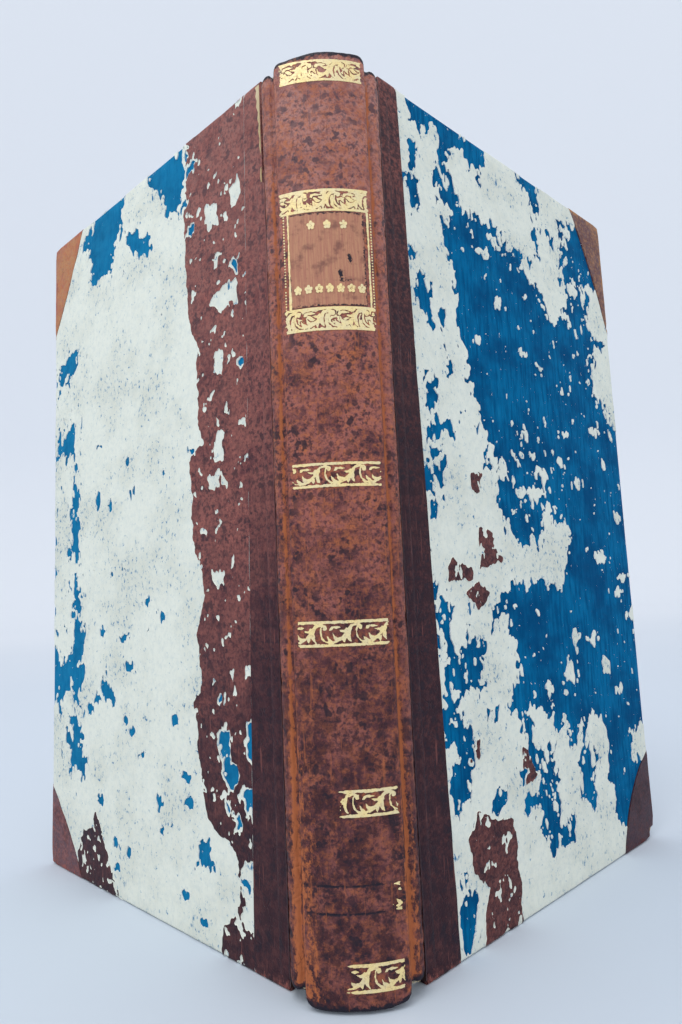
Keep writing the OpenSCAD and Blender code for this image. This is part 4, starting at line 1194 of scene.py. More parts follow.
class Spine:
    """The section of the spine, measured from the line between the joints."""

    def __init__(self):
        s = settings().spine
        self.r = mm(s.panel_r)
        self.top = HINGE_Y - SPINE_LO[1]
        self.centre = self.r - self.top
        self.low, self.high = SPINE_LO[2], SPINE_HI[2]
        self.outer = self.section(self.r, PANEL_EDGE_X, RIDGE_PATH, 0.25)
        self.run = np.concatenate([[0], np.cumsum(np.hypot(*np.diff(self.outer, axis=0).T))])
        self.run -= self.run[-1] / 2
        slope = np.gradient(self.outer, axis=0)
        slope /= np.hypot(*slope.T)[:, None]
        self.out = np.stack([slope[:, 1], -slope[:, 0]], axis=1)

    def section(self, r, edge, path, step):
        """Points across the whole spine, from the back joint to the front one."""
        turns = np.linspace(0, math.asin(edge / r), 12)
        arc = [(r * math.sin(a), self.centre - r * math.cos(a)) for a in turns]
        half = curve_through([*arc, *path], step)
        return np.concatenate([half[:0:-1] * (-1, 1), half])

    def laid(self, proud, sunk):
        """Where a thin layer lies on the panel, with its face proud and its back sunk."""
        def place(x, z, back):
            run = np.interp(x, self.outer[:, 0], self.run)
            lift = spine_relief(run, z) + (-sunk if back else proud)
            return np.stack([x, HINGE_Y + self.centre - np.sqrt(self.r ** 2 - x ** 2) - lift, z], axis=-1)
        return place

    def end(self, x, up):
        """Height at which the worn end of the spine lies: the ridges end short of the panel."""
        s = settings().spine
        r, side = mm(s.corner_r), np.abs(x)

        def rounded(past):
            past = np.clip(past, 0, r)
            return r - np.sqrt(r * r - past * past)
        panel = rounded(side - (PANEL_HALF - r))
        ridge = mm(s.ridge_short) + rounded(side - (SPINE_HI[0] - r))
        worn = panel + (ridge - panel) * smooth(8.55, 8.95, side)
        if up:
            worn = worn + 0.9 * smooth(1, -7.5, x) * smooth(9.6, 8.6, side)
        else:
            worn = worn + 0.5 * smooth(4, 8.4, x) + 0.4 * smooth(-6, -8.6, x) * smooth(9.6, 8.6, side)
        worn = worn + 0.13 * (1 + noise(x, 0 * x, 2.2, 110 + up, 4))
        return self.high - worn if up else self.low + worn


def spine_relief(run, z):
    """Relief of the spine leather: cockles, blind lines, chips and cracks."""
    side = np.abs(run)
    height = 0.05 * noise(run, z, 9, 120, 2) + 0.03 * noise(run, z, 1.6, 121, 3)
    for line in BLIND_LINES:
        height = height - 0.12 * hill(z, line, 0.28) * (side < 9.1)
    ridge = smooth(10.0, 10.8, side) * smooth(14.5, 13, side)
    chips = smooth(0.1, 0.7, noise(run, z * 0.4, 1.1, 122, 3))
    height = height - 0.16 * ridge * chips
    groove = hill(side, GROOVE, 0.22)
    height = height - 0.15 * groove * smooth(-0.3, 0.5, noise(run, z, 14, 123))
    cracks = smooth(0.14, 0.02, np.abs(noise(run * 0.7, z, 2.4, 124, 3))) * smooth(60, 10, z)
    return height - 0.12 * cracks * smooth(7, 11, side)


class BOOK_OT_spine(BookOperator, bpy.types.Operator):
    """Make the mottled leather of the spine"""
    bl_idname = "book.spine"
    bl_label = "Spine Leather"

    def execute(self, context):
        s, c = settings().spine, settings().colours
        spine = Spine()
        inner = spine.section(spine.r - mm(s.leather_t), PANEL_EDGE_X - 0.2, INNER_PATH, 0.25)
        n = len(spine.outer)
        at = np.linspace(0, 1, len(inner))
        inner = np.stack([np.interp(np.linspace(0, 1, n), at, inner[:, k]) for k in (0, 1)], axis=1)
        cap_r = spine.r - mm(s.cap_reach)
        cap = np.stack([inner[:, 0], spine.centre - np.sqrt(cap_r ** 2 - inner[:, 0] ** 2)], axis=1)
        cap_t = mm(s.leather_t)
        ends = [(0.0, -0.3), (0.1, -0.1), (0.3, 0.0), (cap_t, 0.0)]
        fine = np.concatenate([line + np.linspace(-0.8, 0.8, 9) for line in BLIND_LINES])
        zs = np.concatenate([np.arange(spine.low + cap_t, spine.high - cap_t, 0.5), fine])
        rows = [(t, tuck, True) for t, tuck in ends]
        rows += [(z - spine.low, 0.0, False) for z in sorted(zs)]
        tall = spine.high - spine.low
        rows += [(tall - cap_t, 0.0, False)] + [(tall - t, tuck, True) for t, tuck in reversed(ends)]
        points, flat, marks = [], [], []
        for t, tuck, capped in rows:
            outer = self.outer_row(spine, t / tall, tuck)
            inside_row = cap if capped else inner
            z = self.height(spine, inside_row[:, 0], t / tall)
            back = np.column_stack([inside_row[:, 0], inside_row[:, 1] + HINGE_Y, z])
            if not capped:
                back[:, :2] = np.where(self.split(back[:, 0], z)[:, None],
                                       np.stack([back[:, 0], back[:, 1] * 0 + HINGE_Y - 2.4], axis=1),
                                       back[:, :2])
            points.append(np.concatenate([outer, back[::-1]]))
            across = np.concatenate([spine.run, spine.run[::-1]])
            flat.append(np.stack([across, points[-1][:, 2]], axis=1))
            marks.append(np.concatenate([self.worn(spine, outer[:, 2]), np.zeros(n)]))
        loop, count = 2 * n, len(rows)
        faces = [(r * loop + i, r * loop + (i + 1) % loop, (r + 1) * loop + (i + 1) % loop,
                  (r + 1) * loop + i) for r in range(count - 1) for i in range(loop)]
        for base, turn in ((0, -1), ((count - 1) * loop, 1)):
            faces += [tuple(base + k for k in (i, i + 1, loop - 2 - i, loop - 1 - i))[::turn]
                      for i in range(n - 1)]
        shape = Shape()
        shape.add(np.concatenate(points), faces, 0, np.concatenate(flat), np.concatenate(marks))
        # Darker towards the tail, partly stains and partly painted shade, and a painted sheen paler
        # towards the head
        leather = mottled_leather("calf_spine", c.calf, c.calf_dark, c.rubbed, 1.0, (105, 25, 0.3),
                                  0.65, 0.16)
        shape.dress("spine_leather", [leather], "book_block", "mottled_leather", 50)
        return {"FINISHED"}

    def height(self, spine, x, share):
        """Height in the book of a row, between the worn ends of the spine."""
        low, high = spine.end(x, 0), spine.end(x, 1)
        return low + (high - low) * share

    def split(self, x, z):
        """True where the leather has split away from the back joint."""
        ragged = 1.5 * noise(x, z * 0.3, 2, 130, 2)
        return (x < -10.9) & (z > SPINE_HI[2] - mm(settings().spine.split) + ragged)

    def outer_row(self, spine, share, tuck):
        """Outer points of one row."""
        z = self.height(spine, spine.outer[:, 0], share)
        lift = spine_relief(spine.run, z) + tuck
        xy = spine.outer + spine.out * lift[:, None]
        torn = self.split(xy[:, 0], z) & (xy[:, 1] > -2.5)
        xy[:, 1] = np.where(torn, -2.5 + 0.15 * noise(z, xy[:, 0], 0.8, 131, 2), xy[:, 1])
        return np.column_stack([xy[:, 0], xy[:, 1] + HINGE_Y, z])

    def worn(self, spine, z):
        """Rubbed places above zero, such as the ridges, and dark places below it: blind lines, the
        channel, the ends, and painted shade beside the joints.
        """
        run, x = spine.run, spine.outer[:, 0]
        side = np.abs(run)
        line = np.where(run > 0, FRONT_RIDGE, BACK_RIDGE) + 0.25 * wander(z, 7, 139, 2)
        ridge = hill(side, line, 0.4) * (0.8 + 0.5 * wander(z, 6, 140, 3))
        ridge = ridge * np.where((run < 0) & (z > 145), 0.4, 1)
        edge = hill(side, PANEL_SIDE, 0.2) * (0.2 + 0.5 * wander(z, 5, 141, 2))
        low = smooth(64, 14, z) * np.maximum(smooth(-4.5, -8.5, run), 0.8 * smooth(7, 9, run))
        field = 0.3 * smooth(0.1, 0.8, noise(run, z, 16, 142, 3)) + 0.5 * low
        light = np.clip(ridge + np.clip(edge, 0, 1) + field, 0, 1)
        # Painted shade: the leather beyond the ridges, in the crevice by the joints, is painted darker
        sunk = 0.25 * smooth(11.5, 12.3, side)
        groove = np.clip(0.6 + wander(z, 8, 143, 2), 0, 1)
        groove = hill(side, CHANNEL, 0.2) * groove
        near = np.minimum(z - spine.end(x, 0), spine.end(x, 1) - z)
        ends = smooth(1.3, 0.3, near + 0.5 * noise(run, z, 1.5, 145, 2))
        for height in BLIND_LINES:
            blind = hill(z, height, 0.22) * (side < 8.8)
            sunk = np.maximum(sunk, blind * np.clip(0.7 + 0.8 * noise(run, z * 0, 3, 144, 2), 0, 1))
        dark = np.maximum(np.maximum(sunk, 0.8 * groove), ends)
        return np.clip(light * (1 - dark) - dark, -1, 1)


# One repeat of the leafy scroll, measured in millimetres from its berry: a thin hook
# that thickens into a stem, and the lobes of a leaf on it
SCROLL = 6.15
SCROLL_START = 0.9      # how far a repeat reaches back from its berry
BERRY = (0.0, 0.95, 0.36)
HOOK = [(0.1, 1.2), (-0.25, 1.42), (-0.62, 1.0), (-0.72, 0.2), (-0.5, -0.75), (0.1, -1.35), (0.9, -1.5)]
STEM = [(0.9, -1.5), (1.9, -1.35), (2.8, -0.85), (3.5, -0.2), (4.0, 0.6), (4.6, 1.3), (5.4, 1.5),
        (6.25, 1.2)]
LOBES = [[(0.8, -1.5), (0.45, -1.0), (0.35, -0.3), (0.7, -0.7), (1.2, -1.0), (1.6, -1.4)],
         [(1.9, -1.4), (1.45, -0.8), (1.35, 0.15), (1.75, -0.4), (2.2, -0.6), (3.2, -0.5), (2.9, -1.0)],
         [(2.4, 0.62), (2.9, 0.25), (3.4, 0.15), (3.7, -0.1), (4.15, 0.9), (3.7, 1.0), (3.3, 0.62)],
         [(0.85, 0.65), (1.1, 1.2), (2.2, 1.3), (3.0, 1.05), (2.1, 0.85), (1.6, 0.95), (1.25, 0.6)],
         [(3.7, 0.2), (3.7, -0.6), (4.1, -1.2), (4.6, -1.55), (4.4, -0.8), (4.4, 0.2), (4.7, 1.1),
          (4.1, 0.9)],
         [(2.9, -0.8), (3.3, -1.6), (3.55, -1.1), (3.7, -0.4)]]


def scroll(x, z):
    """Distance inside the gold of the scroll, with z from the middle of the band."""
    start = (x + SCROLL_START) % SCROLL - SCROLL_START
    gold = np.full(np.shape(x), -9.0)
    for along in (start, start + SCROLL):
        gold = np.maximum(gold, BERRY[2] - np.hypot(along - BERRY[0], z - BERRY[1]))
        gold = np.maximum(gold, stroke(HOOK, 0.28, along, z))
        gold = np.maximum(gold, stroke(STEM, 0.5, along, z))
        for lobe in LOBES:
            gold = np.maximum(gold, inside(lobe, along, z))
    return gold


def band_field(index, x, z, low, spine):
    """Distance inside the gold that is left on a band, above its lower edge."""
    s = settings().spine
    height, fillet = mm(s.band_h), mm(s.fillet)
    _, start, stop = BANDS[index]
    up = z - low - height / 2
    lines = fillet / 2 - np.abs(np.abs(up) - (height - fillet) / 2)
    within = height / 2 - np.abs(up)
    ornament = scroll(x + 1.7 + 1.9 * index, up)
    rub = 0.16 * noise(x, z, 0.6, 160 + index, 3) + 0.1 * noise(x, z, 2.4, 165 + index, 2)
    if index < 3:
        ground = np.where(noise(x, z, 2.2, 150 + index, 2) > -0.25, -0.24 - ornament, -9)
        ornament = np.maximum(ornament + 0.05, ground)
    frayed = 0.35 * wander(z, 0.5, 170 + index, 2)
    gold = np.maximum(ornament, lines + 0.06) + rub
    if start > -5:
        gold = gold - 0.35 * smooth(start + 2, start, x)
    whole = np.minimum(spine.end(x, 1) - z, z - spine.end(x, 0)) - 0.5
    gold = np.minimum(np.minimum(gold, whole), within + 0.05)
    return np.minimum(gold, np.minimum(x - start, stop - x) + frayed)


# Lines of gold beside the title panel, and rows of florets on it: how many, the first
# one, the distance between two, and the height
UPRIGHTS = (-6.95, 7.8)
FLORETS = ((3, -2.7, 3.0, 134.5), (7, -5.5, 1.95, 122.2))
GOLD_STEP, FLORET_STEP = 0.09, 0.07
GOLD_SUNK, LABEL_T = 0.08, 0.07


class BOOK_OT_gilding(BookOperator, bpy.types.Operator):
    """Press the gilt bands into the spine"""
    bl_idname = "book.gilding"
    bl_label = "Gilt Bands"

    def execute(self, context):
        s, spine, shape = settings().spine, Spine(), Shape()
        place = spine.laid(mm(s.gold_t), GOLD_SUNK)
        for index, (share, start, stop) in enumerate(BANDS):
            low = share * BOOK_H
            xs = np.arange(start - 0.5, stop + 0.5 + GOLD_STEP, GOLD_STEP)
            zs = np.arange(low - 0.3, low + mm(s.band_h) + 0.3 + GOLD_STEP, GOLD_STEP)
            self.press(shape, xs, zs, lambda x, z: band_field(index, x, z, low, spine), place)
        low = BANDS[2][0] * BOOK_H + mm(s.band_h)
        high = BANDS[1][0] * BOOK_H
        for middle in UPRIGHTS:
            def upright(x, z):
                rub = 0.12 * noise(x, z, 0.8, 180, 3) + 0.08 * noise(x, z, 4, 181)
                return np.minimum(0.17 - np.abs(x - middle) + rub, np.minimum(z - low, high - z) + 0.1)
            xs = np.arange(middle - 0.5, middle + 0.5, GOLD_STEP)
            zs = np.arange(low - 0.2, high + 0.2 + GOLD_STEP, GOLD_STEP)
            self.press(shape, xs, zs, upright, place)
        for count, first, pitch, height in FLORETS:
            for k in range(count):
                self.floret(shape, place, first + k * pitch, height, k)
        shape.dress("gilt_bands", [gold_leaf("gold_leaf")], "book_block", "gold_leaf", 30)
        return {"FINISHED"}

    def floret(self, shape, place, middle, height, k):
        """A small floret of five petals on the title panel."""
        turns = [math.pi * (0.5 + 0.4 * n) for n in range(5)]

        def petals(x, z):
            across, up = x - middle, (z - height) * 0.85
            away = [np.hypot(across - 0.46 * math.cos(a), up - 0.46 * math.sin(a)) for a in turns]
            heart = 0.15 - np.hypot(across, up)
            gold = np.maximum(np.max([0.29 - far for far in away], axis=0), heart)
            return gold + 0.1 * noise(x, z, 0.7, 185 + k, 2)
        xs = middle + np.arange(-0.95, 1, FLORET_STEP)
        zs = height + np.arange(-1.2, 1.25, FLORET_STEP)
        self.press(shape, xs, zs, petals, lambda x, z, back: place(x, z, back) - (0, LABEL_T, 0))

    def press(self, shape, xs, zs, gold, place):
        """Adds gold where a function of x and z is above zero."""
        x, z = np.meshgrid(xs, zs, indexing="ij")
        field = gold(x, z)
        field[[0, -1], :] = field[:, [0, -1]] = -1
        points, edges = contour(field, xs, zs)
        shape.add_sheet(points, edges, lambda x, z: sampled(field, xs, zs, x, z) > 0, place)


def rectangle(low, high, step, fray, seed):
    """Points and edges of a sheet with slightly uneven sides, and the outline itself."""
    (u0, z0), (u1, z1) = low, high
    us = np.linspace(u0, u1, round((u1 - u0) / step) + 1)
    zs = np.linspace(z0, z1, round((z1 - z0) / step) + 1)
    border = np.array([*[(u, z0) for u in us[:-1]], *[(u1, z) for z in zs[:-1]],
                       *[(u, z1) for u in us[:0:-1]], *[(u0, z) for z in zs[:0:-1]]])
    inward = np.stack([(border[:, 0] < u0 + 1e-6) * 1.0 - (border[:, 0] > u1 - 1e-6),
                       (border[:, 1] < z0 + 1e-6) * 1.0 - (border[:, 1] > z1 - 1e-6)], axis=1)
    uneven = fray * (1 + noise(border[:, 0], border[:, 1], 5, seed, 3))
    border = border + inward * uneven[:, None]
    u, z = np.meshgrid(us[1:-1], zs[1:-1])
    n = len(border)
    edges = [(i, (i + 1) % n) for i in range(n)]
    points = [*border.tolist(), *np.stack([u.ravel(), z.ravel()], axis=1).tolist()]
    return points, edges, [tuple(p) for p in border.tolist()]


def lay_rectangle(shape, low, high, step, surface, mark=None, mirrored=False, fray=0.08, seed=300):
    """Adds a rectangular sheet to a shape."""
    points, edges, outline = rectangle(low, high, step, fray, seed)
    shape.add_sheet(points, edges, lambda u, z: inside(outline, u, z) > 0, surface, (0, 0), mark,
                    mirrored)


# Scuffs on the title panel: x, z, width and height. Beside it, rows of beads: x, and the
# share of the beads that is left
SCUFFS = [(4.3, 128, 0.35, 0.9), (2.3, 124.9, 0.35, 0.8), (3.4, 123.9, 0.9, 0.25),
          (5, 121.8, 0.3, 0.5)]
BEAD_ROWS = (("back_title_beads", -7.75, 0.92), ("front_title_beads", 8.35, 0.98))


class BOOK_OT_title(BookOperator, bpy.types.Operator):
    """Lay the title panel and its row of gilt beads on the spine"""
    bl_idname = "book.title"
    bl_label = "Title Panel"

    def execute(self, context):
        s, spine = settings().spine, Spine()
        low, high = corners("title_label")

        def scuffed(x, z):
            """Dark scuffs and edges, below zero where they are."""
            dark = sum(np.exp(-((x - a) / w) ** 2 - ((z - b) / h) ** 2) for a, b, w, h in SCUFFS)
            edges = [np.minimum(at - low[k], high[k] - at) for at, k in ((x, 0), (z, 2))]
            return -np.clip(dark + 0.5 * smooth(0.5, 0.1, np.minimum(*edges)), 0, 1)
        shape = Shape()
        lay_rectangle(shape, (low[0], low[2]), (high[0], high[2]), 0.6, spine.laid(LABEL_T, 0.1), scuffed,
                      fray=0.05)
        shape.dress("title_label", [title_leather("title_leather")], "book_block", "label_leather")

        pitch = mm(s.bead_pitch)
        gold = gold_leaf("gold_beads")
        for name, x, share in BEAD_ROWS:
            count = round((high[2] - low[2] + 1) / pitch)
            y = float(np.interp(x, spine.outer[:, 0], spine.outer[:, 1])) + HINGE_Y
            g = Growth(name, Count=count, Pitch=pitch, Radius=mm(s.bead) / 2, Kept=share,
                       Start=low[2] - 0.5)
            line = g.node("MeshLine", {"Count": g.given["Count"],
                                       "Start Location": g.place(x, y, g.given["Start"]),
                                       "Offset": g.place(0.0, 0.0, g.given["Pitch"])})
            bead = g.node("MeshUVSphere", {"Segments": 10, "Rings": 6, "Radius": g.given["Radius"]})
            chance = g.value(1, "FunctionNodeRandomValue", {"Seed": 4})
            placed = g.node("InstanceOnPoints", {"Points": line, "Selection": chance < g.given["Kept"],
                                                 "Instance": bead,
                                                 "Scale": g.place(1.0, 0.5, chance * 0.5 + 0.8)})
            seat(g.piece(name, placed, gold, True), "book_block", "gold_leaf")
        return {"FINISHED"}


# The backs of the leaves: half the width of their arc, and where their shoulders begin and
# how far they stand back
ARC_HALF, SHOULDER_FROM, SHOULDER = 8.2, 7.4, 0.75


class BOOK_OT_leaves(BookOperator, bpy.types.Operator):
    """Make the sewn leaves and the two loose flyleaves"""
    bl_idname = "book.leaves"
    bl_label = "Leaves"

    def execute(self, context):
        s, spine = settings().leaves, Spine()
        fore = LEAVES_HI[1] - HINGE_Y
        hollow = mm(s.hollow)
        fore_r = (FOLD_X ** 2 + hollow ** 2) / (2 * hollow)
        g = Growth("leaves", Count=s.count, Half=FOLD_X, Stray=mm(s.stray), Flare=mm(s.flare),
                   Section=s.section, Back=mm(s.back_r), Fore=fore_r)
        half = g.given["Half"]
        pitch = half * 2.0 / g.given["Count"]
        start = pitch * 0.5 - half
        line = g.node("MeshLine", {"Count": g.given["Count"], "Start Location": g.place(start, 0.0, 0.0),
                                   "Offset": g.place(pitch, 0.0, 0.0)})
        leaf = g.node("MeshCube", {"Size": g.place(pitch * 0.84, 1.0, 1.0), "Vertices X": 2,
                                   "Vertices Y": 14, "Vertices Z": 12})
        placed = g.node("InstanceOnPoints", {"Points": line, "Instance": leaf})
        whole = g.node("RealizeInstances", {"Geometry": placed})
        at = g.node("ShaderNodeSeparateXYZ", {0: g.node("InputPosition")}).outputs
        at_x, at_y, at_z = (Value(g, socket) for socket in at)
        index = g.math("FLOOR", (at_x + half) / pitch)
        middle = index * pitch + start
        side = g.math("ABSOLUTE", middle)

        def chance(seed):
            return g.value("Value", "ShaderNodeTexWhiteNoise", {"W": index + seed},
                           noise_dimensions="1D") * g.given["Stray"]

        def arc(r):
            return g.math("SQRT", r ** 2.0 - g.math("MINIMUM", side, ARC_HALF) ** 2.0)
        short = (index % g.given["Section"] < 0.5) * 0.25
        shoulder = g.steps(side, SHOULDER_FROM, FOLD_X, 0.0, SHOULDER)
        back = HINGE_Y + spine.centre - arc(g.given["Back"]) + shoulder
        bow = g.given["Fore"] - arc(g.given["Fore"])
        front = HINGE_Y + fore - hollow + bow - chance(11.0) - short
        y = back + (front - back) * (at_y + 0.5) ** 2.0
        lean = (middle / half) ** 5.0
        x = at_x + lean * g.steps(y, HINGE_Y - 3.2, HINGE_Y + 1.5, g.given["Flare"], 0.0)
        low = LEAVES_LO[2] + chance(47.0) + short
        high = LEAVES_HI[2] - chance(83.0) - short
        z = low + (high - low) * (at_z + 0.5)
        moved = g.node("SetPosition", {"Geometry": whole, "Position": g.place(x, y, z)})
        piece = g.piece("leaves_dressed", moved, leaf_edges("leaf_edges"), False)
        seat(piece, "book_block", "leaves", "text_block")
        for face, way in FACES.items():
            self.flyleaf(face, way)
        return {"FINISHED"}

    def flyleaf(self, face, way):
        """A loose leaf beside the sewn ones, a little wavy towards its fore-edge."""
        low, high = corners(face + "_flyleaf")
        thick = high[0] - low[0]
        inner = np.abs([low[0], high[0]]).min()

        def place(y, z, back):
            loose = smooth(HINGE_Y + 20, high[1], y)
            wave = 0.05 * loose * (1 + noise(y, z, 22, 310 + way, 2))
            out = inner + wave + (0.012 if back else thick)
            return np.stack([way * out + 0 * y, y, z], axis=-1)

        def dusty(y, z):
            return smooth(9, 0, np.minimum(high[1] - y, np.minimum(z - low[2], high[2] - z)))
        shape = Shape()
        lay_rectangle(shape, (low[1], low[2]), (high[1], high[2]), 3, place, dusty, way < 0, 0.12, 311)
        paper = plain_paper(face + "_flyleaf_paper", settings().colours.endpaper, foxing=0.5)
        shape.dress(face + "_flyleaf", [paper], "book_block", "endpaper")


class BOOK_OT_endbands(BookOperator, bpy.types.Operator):
    """Wind pale and blue thread round the cores of the endbands"""
    bl_idname = "book.endbands"
    bl_label = "Endbands"

    def execute(self, context):
        s, c = settings().leaves, settings().colours
        spine = Spine()
        pale = twisted("pale_thread", c.thread_pale, c.hemp)
        blue = twisted("blue_thread", c.thread_blue, c.blue_dark)
        for end in ("head", "tail"):
            low, high = corners(end + "_endband")
            radius = (high[2] - low[2]) / 2
            line_r = spine.centre - (low[1] - HINGE_Y) - radius
            half = math.asin(high[0] / line_r) - 0.01
            g = Growth(end + "_endband", Turns=s.turns, Radius=line_r, Half=half, Thread=mm(s.thread) / 2,
                       Ring=radius - mm(s.thread) / 2)
            half, ring = g.given["Half"], g.given["Ring"]
            arc = g.node("CurveArc", {"Resolution": 49, "Radius": g.given["Radius"],
                                      "Start Angle": -math.pi / 2 - half, "Sweep Angle": half * 2.0})
            loop = g.node("CurvePrimitiveCircle", {"Resolution": 12, "Radius": ring})
            turn = g.tube(loop, g.given["Thread"], 8)
            points = g.node("CurveToPoints", {"Curve": arc, "Count": g.given["Turns"]})
            is_blue = g.value(0, "InputIndex") % 5.0 < 1.5
            joined = g.node("JoinGeometry")
            g.plug(joined.inputs[0], g.dressed(g.tube(arc, ring, 12), pale))
            for material, chosen in ((pale, 1.0 - is_blue), (blue, is_blue)):
                wound = g.node("InstanceOnPoints", {"Points": points, "Selection": chosen,
                                                    "Instance": g.dressed(turn, material),
                                                    "Rotation": points.outputs["Rotation"]})
                g.plug(joined.inputs[0], wound)
            move = 0, (HINGE_Y + spine.centre) * MM, (low[2] + high[2]) / 2 * MM
            seat(g.piece(end + "_endband_dressed", joined, None, True, move), "book_block",
                 "endband_thread", end + "_endband")
        return {"FINISHED"}


# Height of each laced cord, and its frayed end on a board: from u to u, and half its height
CORD_ZS = (24, 64.67, 105.33, 146)
SLIP = (7, 16, 3)
LUMP_HALF = 5.5     # half the length of the lump over a cord end


class BOOK_OT_endpapers(BookOperator, bpy.types.Operator):
    """Paste the endpapers on the covers, with the folds that join them to the leaves"""
    bl_idname = "book.endpapers"
    bl_label = "Endpapers"

    def execute(self, context):
        paper = plain_paper("pastedown_paper", settings().colours.endpaper, foxing=0.7)
        for cover in map(Cover, FACES):
            self.pastedown(cover, paper)
            self.fold(cover, paper)
        return {"FINISHED"}

    def pastedown(self, cover, paper):
        """A sheet inside a cover, with soft lumps over the cord ends."""
        turned = cover.turn_in

        def place(u, z, back):
            lump = sum(smooth(1, 0, np.hypot((u - sum(SLIP[:2]) / 2) / LUMP_HALF, (z - at) / SLIP[2]))
                       for at in CORD_ZS)
            deep = cover.thick + 0.1 * lump + 0.03 * noise(u, z, 18, 320, 2) - cover.relief(u, z)
            return cover.world(u, z, deep - 0.2 if back else deep)

        def dusty(u, z):
            return smooth(8, 0, np.minimum(cover.width - turned - u, np.minimum(z - 4, BOOK_H - 4 - z)))
        shape = Shape()
        lay_rectangle(shape, (cover.gap, turned), (cover.width - turned, BOOK_H - turned), 2.5, place,
                      dusty, cover.mirror > 0, 0.12, 321)
        shape.dress(cover.face + "_pastedown", [paper], cover.face + "_cover", "endpaper")

    def fold(self, cover, paper):
        """The fold of the endpaper, from the foot of the flyleaf to the pastedown."""
        ends = [cover.world(np.array(u), 0, cover.thick + 0.06) for u in (0.9, 2.0, 3.4)]
        ends = [(abs(p[0]), p[1] - HINGE_Y) for p in ends]
        thick = corners(cover.face + "_flyleaf")[1][0] - corners(cover.face + "_flyleaf")[0][0]
        out = FOLD_X + thick
        path = [(out + 0.03, 5.4), (out + 0.04, 4.0), (out + 0.1, 2.9), (out + 0.45, 2.2), *ends]
        ribbon(cover.face + "_endpaper_fold", path, (LEAVES_LO[2] + 1.6, LEAVES_HI[2] - 1.6), 0.1,
               cover, paper, (out, 3.4), (ends[1][0], ends[1][1]))


def ribbon(name, path, span, thick, cover, material, start, end, ragged=0.0, sunk=None):
    """A strip that follows a path across a joint and on to the cover as it stands."""
    line = curve_through(path, 0.3)
    slope = np.gradient(line, axis=0)
    slope /= np.hypot(*slope.T)[:, None]
    out = np.stack([slope[:, 1], -slope[:, 0]], axis=1)
    run = np.concatenate([[0], np.cumsum(np.hypot(*np.diff(line, axis=0).T))])
    low, high = span

    def place(u, z, back):
        x, y = (np.interp(u, run, line[:, k]) for k in (0, 1))
        nx, ny = (np.interp(u, run, out[:, k]) for k in (0, 1))
        taper = np.clip(np.minimum(u, run[-1] - u) / 0.5, 0.15, 1)
        lift = 0.0 if back else thick * taper + 0.04 * noise(u, z, 1.3, 330, 3)
        if not back and sunk:
            lift = lift + sunk(u, z)
        return np.stack([(x + nx * lift) * cover.mirror, HINGE_Y + y + ny * lift, z], axis=-1)

    shape = Shape()
    points, edges, outline = rectangle((0, low), (run[-1], high), 0.42, 0.02, 332)
    points = np.array(points)
    tall = points[:, 1]
    top = smooth(high - 4, high, tall) * ragged * noise(points[:, 0], 0 * tall, 1.2, 333, 3)
    points[:, 1] = tall + top
    border = [tuple(p) for p in points[:len(outline)].tolist()]
    shape.add_sheet(points.tolist(), edges, lambda u, z: inside(border, u, z) > 0, place, (0, 0), None,
                    cover.mirror < 0)
    piece = shape.piece(name, [material])
    a, b = [((p[0] * cover.mirror) * MM, (HINGE_Y + p[1]) * MM, 0.085) for p in (start, end)]
    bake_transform(piece)
    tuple(a)
    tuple(b)


# Lining left bare beside the split joint: u from the joint, z from the tail
TORN_LINING = [
    [(0.52, 169.2), (1.7, 169.1), (1.35, 168.2), (1.65, 167.1), (1.25, 166), (1.5, 164.8), (1.0, 163.4),
     (1.25, 162), (0.85, 160.8), (1.1, 159.2), (0.75, 157.6), (0.95, 156.1), (0.7, 154.8), (0.52, 154)],
    [(0.52, 151.5), (0.8, 151.2), (0.95, 149.6), (0.75, 148), (0.9, 146.7), (0.7, 145.4), (0.52, 145)],
    [(0.52, 139.5), (0.75, 138.8), (0.68, 137), (0.52, 136)]]


class BOOK_OT_joints(BookOperator, bpy.types.Operator):
    """Carry the spine leather over the joints on to the covers"""
    bl_idname = "book.joints"
    bl_label = "Joints"

    def execute(self, context):
        for face in FACES:
            cover = Cover(face)
            lie = [cover.world(np.array(u), 0, -0.02) for u in (0.7, 1.5, 2.4)]
            lie = [(abs(p[0]), p[1] - HINGE_Y) for p in lie]
            wall = HINGE_X - cover.gap
            path = [(wall - 0.1, -2.9), (wall + 0.02, -2.0), (wall + 0.06, -1.0), (wall + 0.14, -0.25),
                    *lie]
            split = mm(settings().spine.split) - 2 if face == "back" else 0
            span = SPINE_LO[2] + 2.0, SPINE_HI[2] - 2.3 - split
            leather = strip_leather(face, face + "_joint_leather")
            end = HINGE_X + 0.5 * math.sin(cover.angle), 0.5 * math.cos(cover.angle)

            def crease(u, z):
                return -0.06 * hill(u, 2.6, 0.35)
            ribbon(face + "_joint_leather", path, span, 0.13, cover, leather,
                   (wall, -0.6), end, 1.6 if face == "back" else 0.4, crease)
        self.torn_lining(Cover("back"))
        return {"FINISHED"}

    def torn_lining(self, cover):
        """Pale lining that shows where the leather has torn away beside the head of the back joint."""
        def place(u, z, back):
            return cover.world(u, z, 0.02 if back else -0.09 - 0.03 * noise(u, z, 1.1, 340, 3))
        shape = Shape()
        for outline in TORN_LINING:
            edges = [(i, (i + 1) % len(outline)) for i in range(len(outline))]
            shape.add_sheet([list(at) for at in outline], edges,
                            lambda u, z, shown=outline: inside(shown, u, z) > 0, place, (0, 0), None,
                            cover.mirror < 0)
        lining = plain_paper("torn_lining", settings().colours.hemp, 0.1, 0.8)
        seat(shape.piece("back_torn_lining", [lining]), "back_cover", "lining_card")


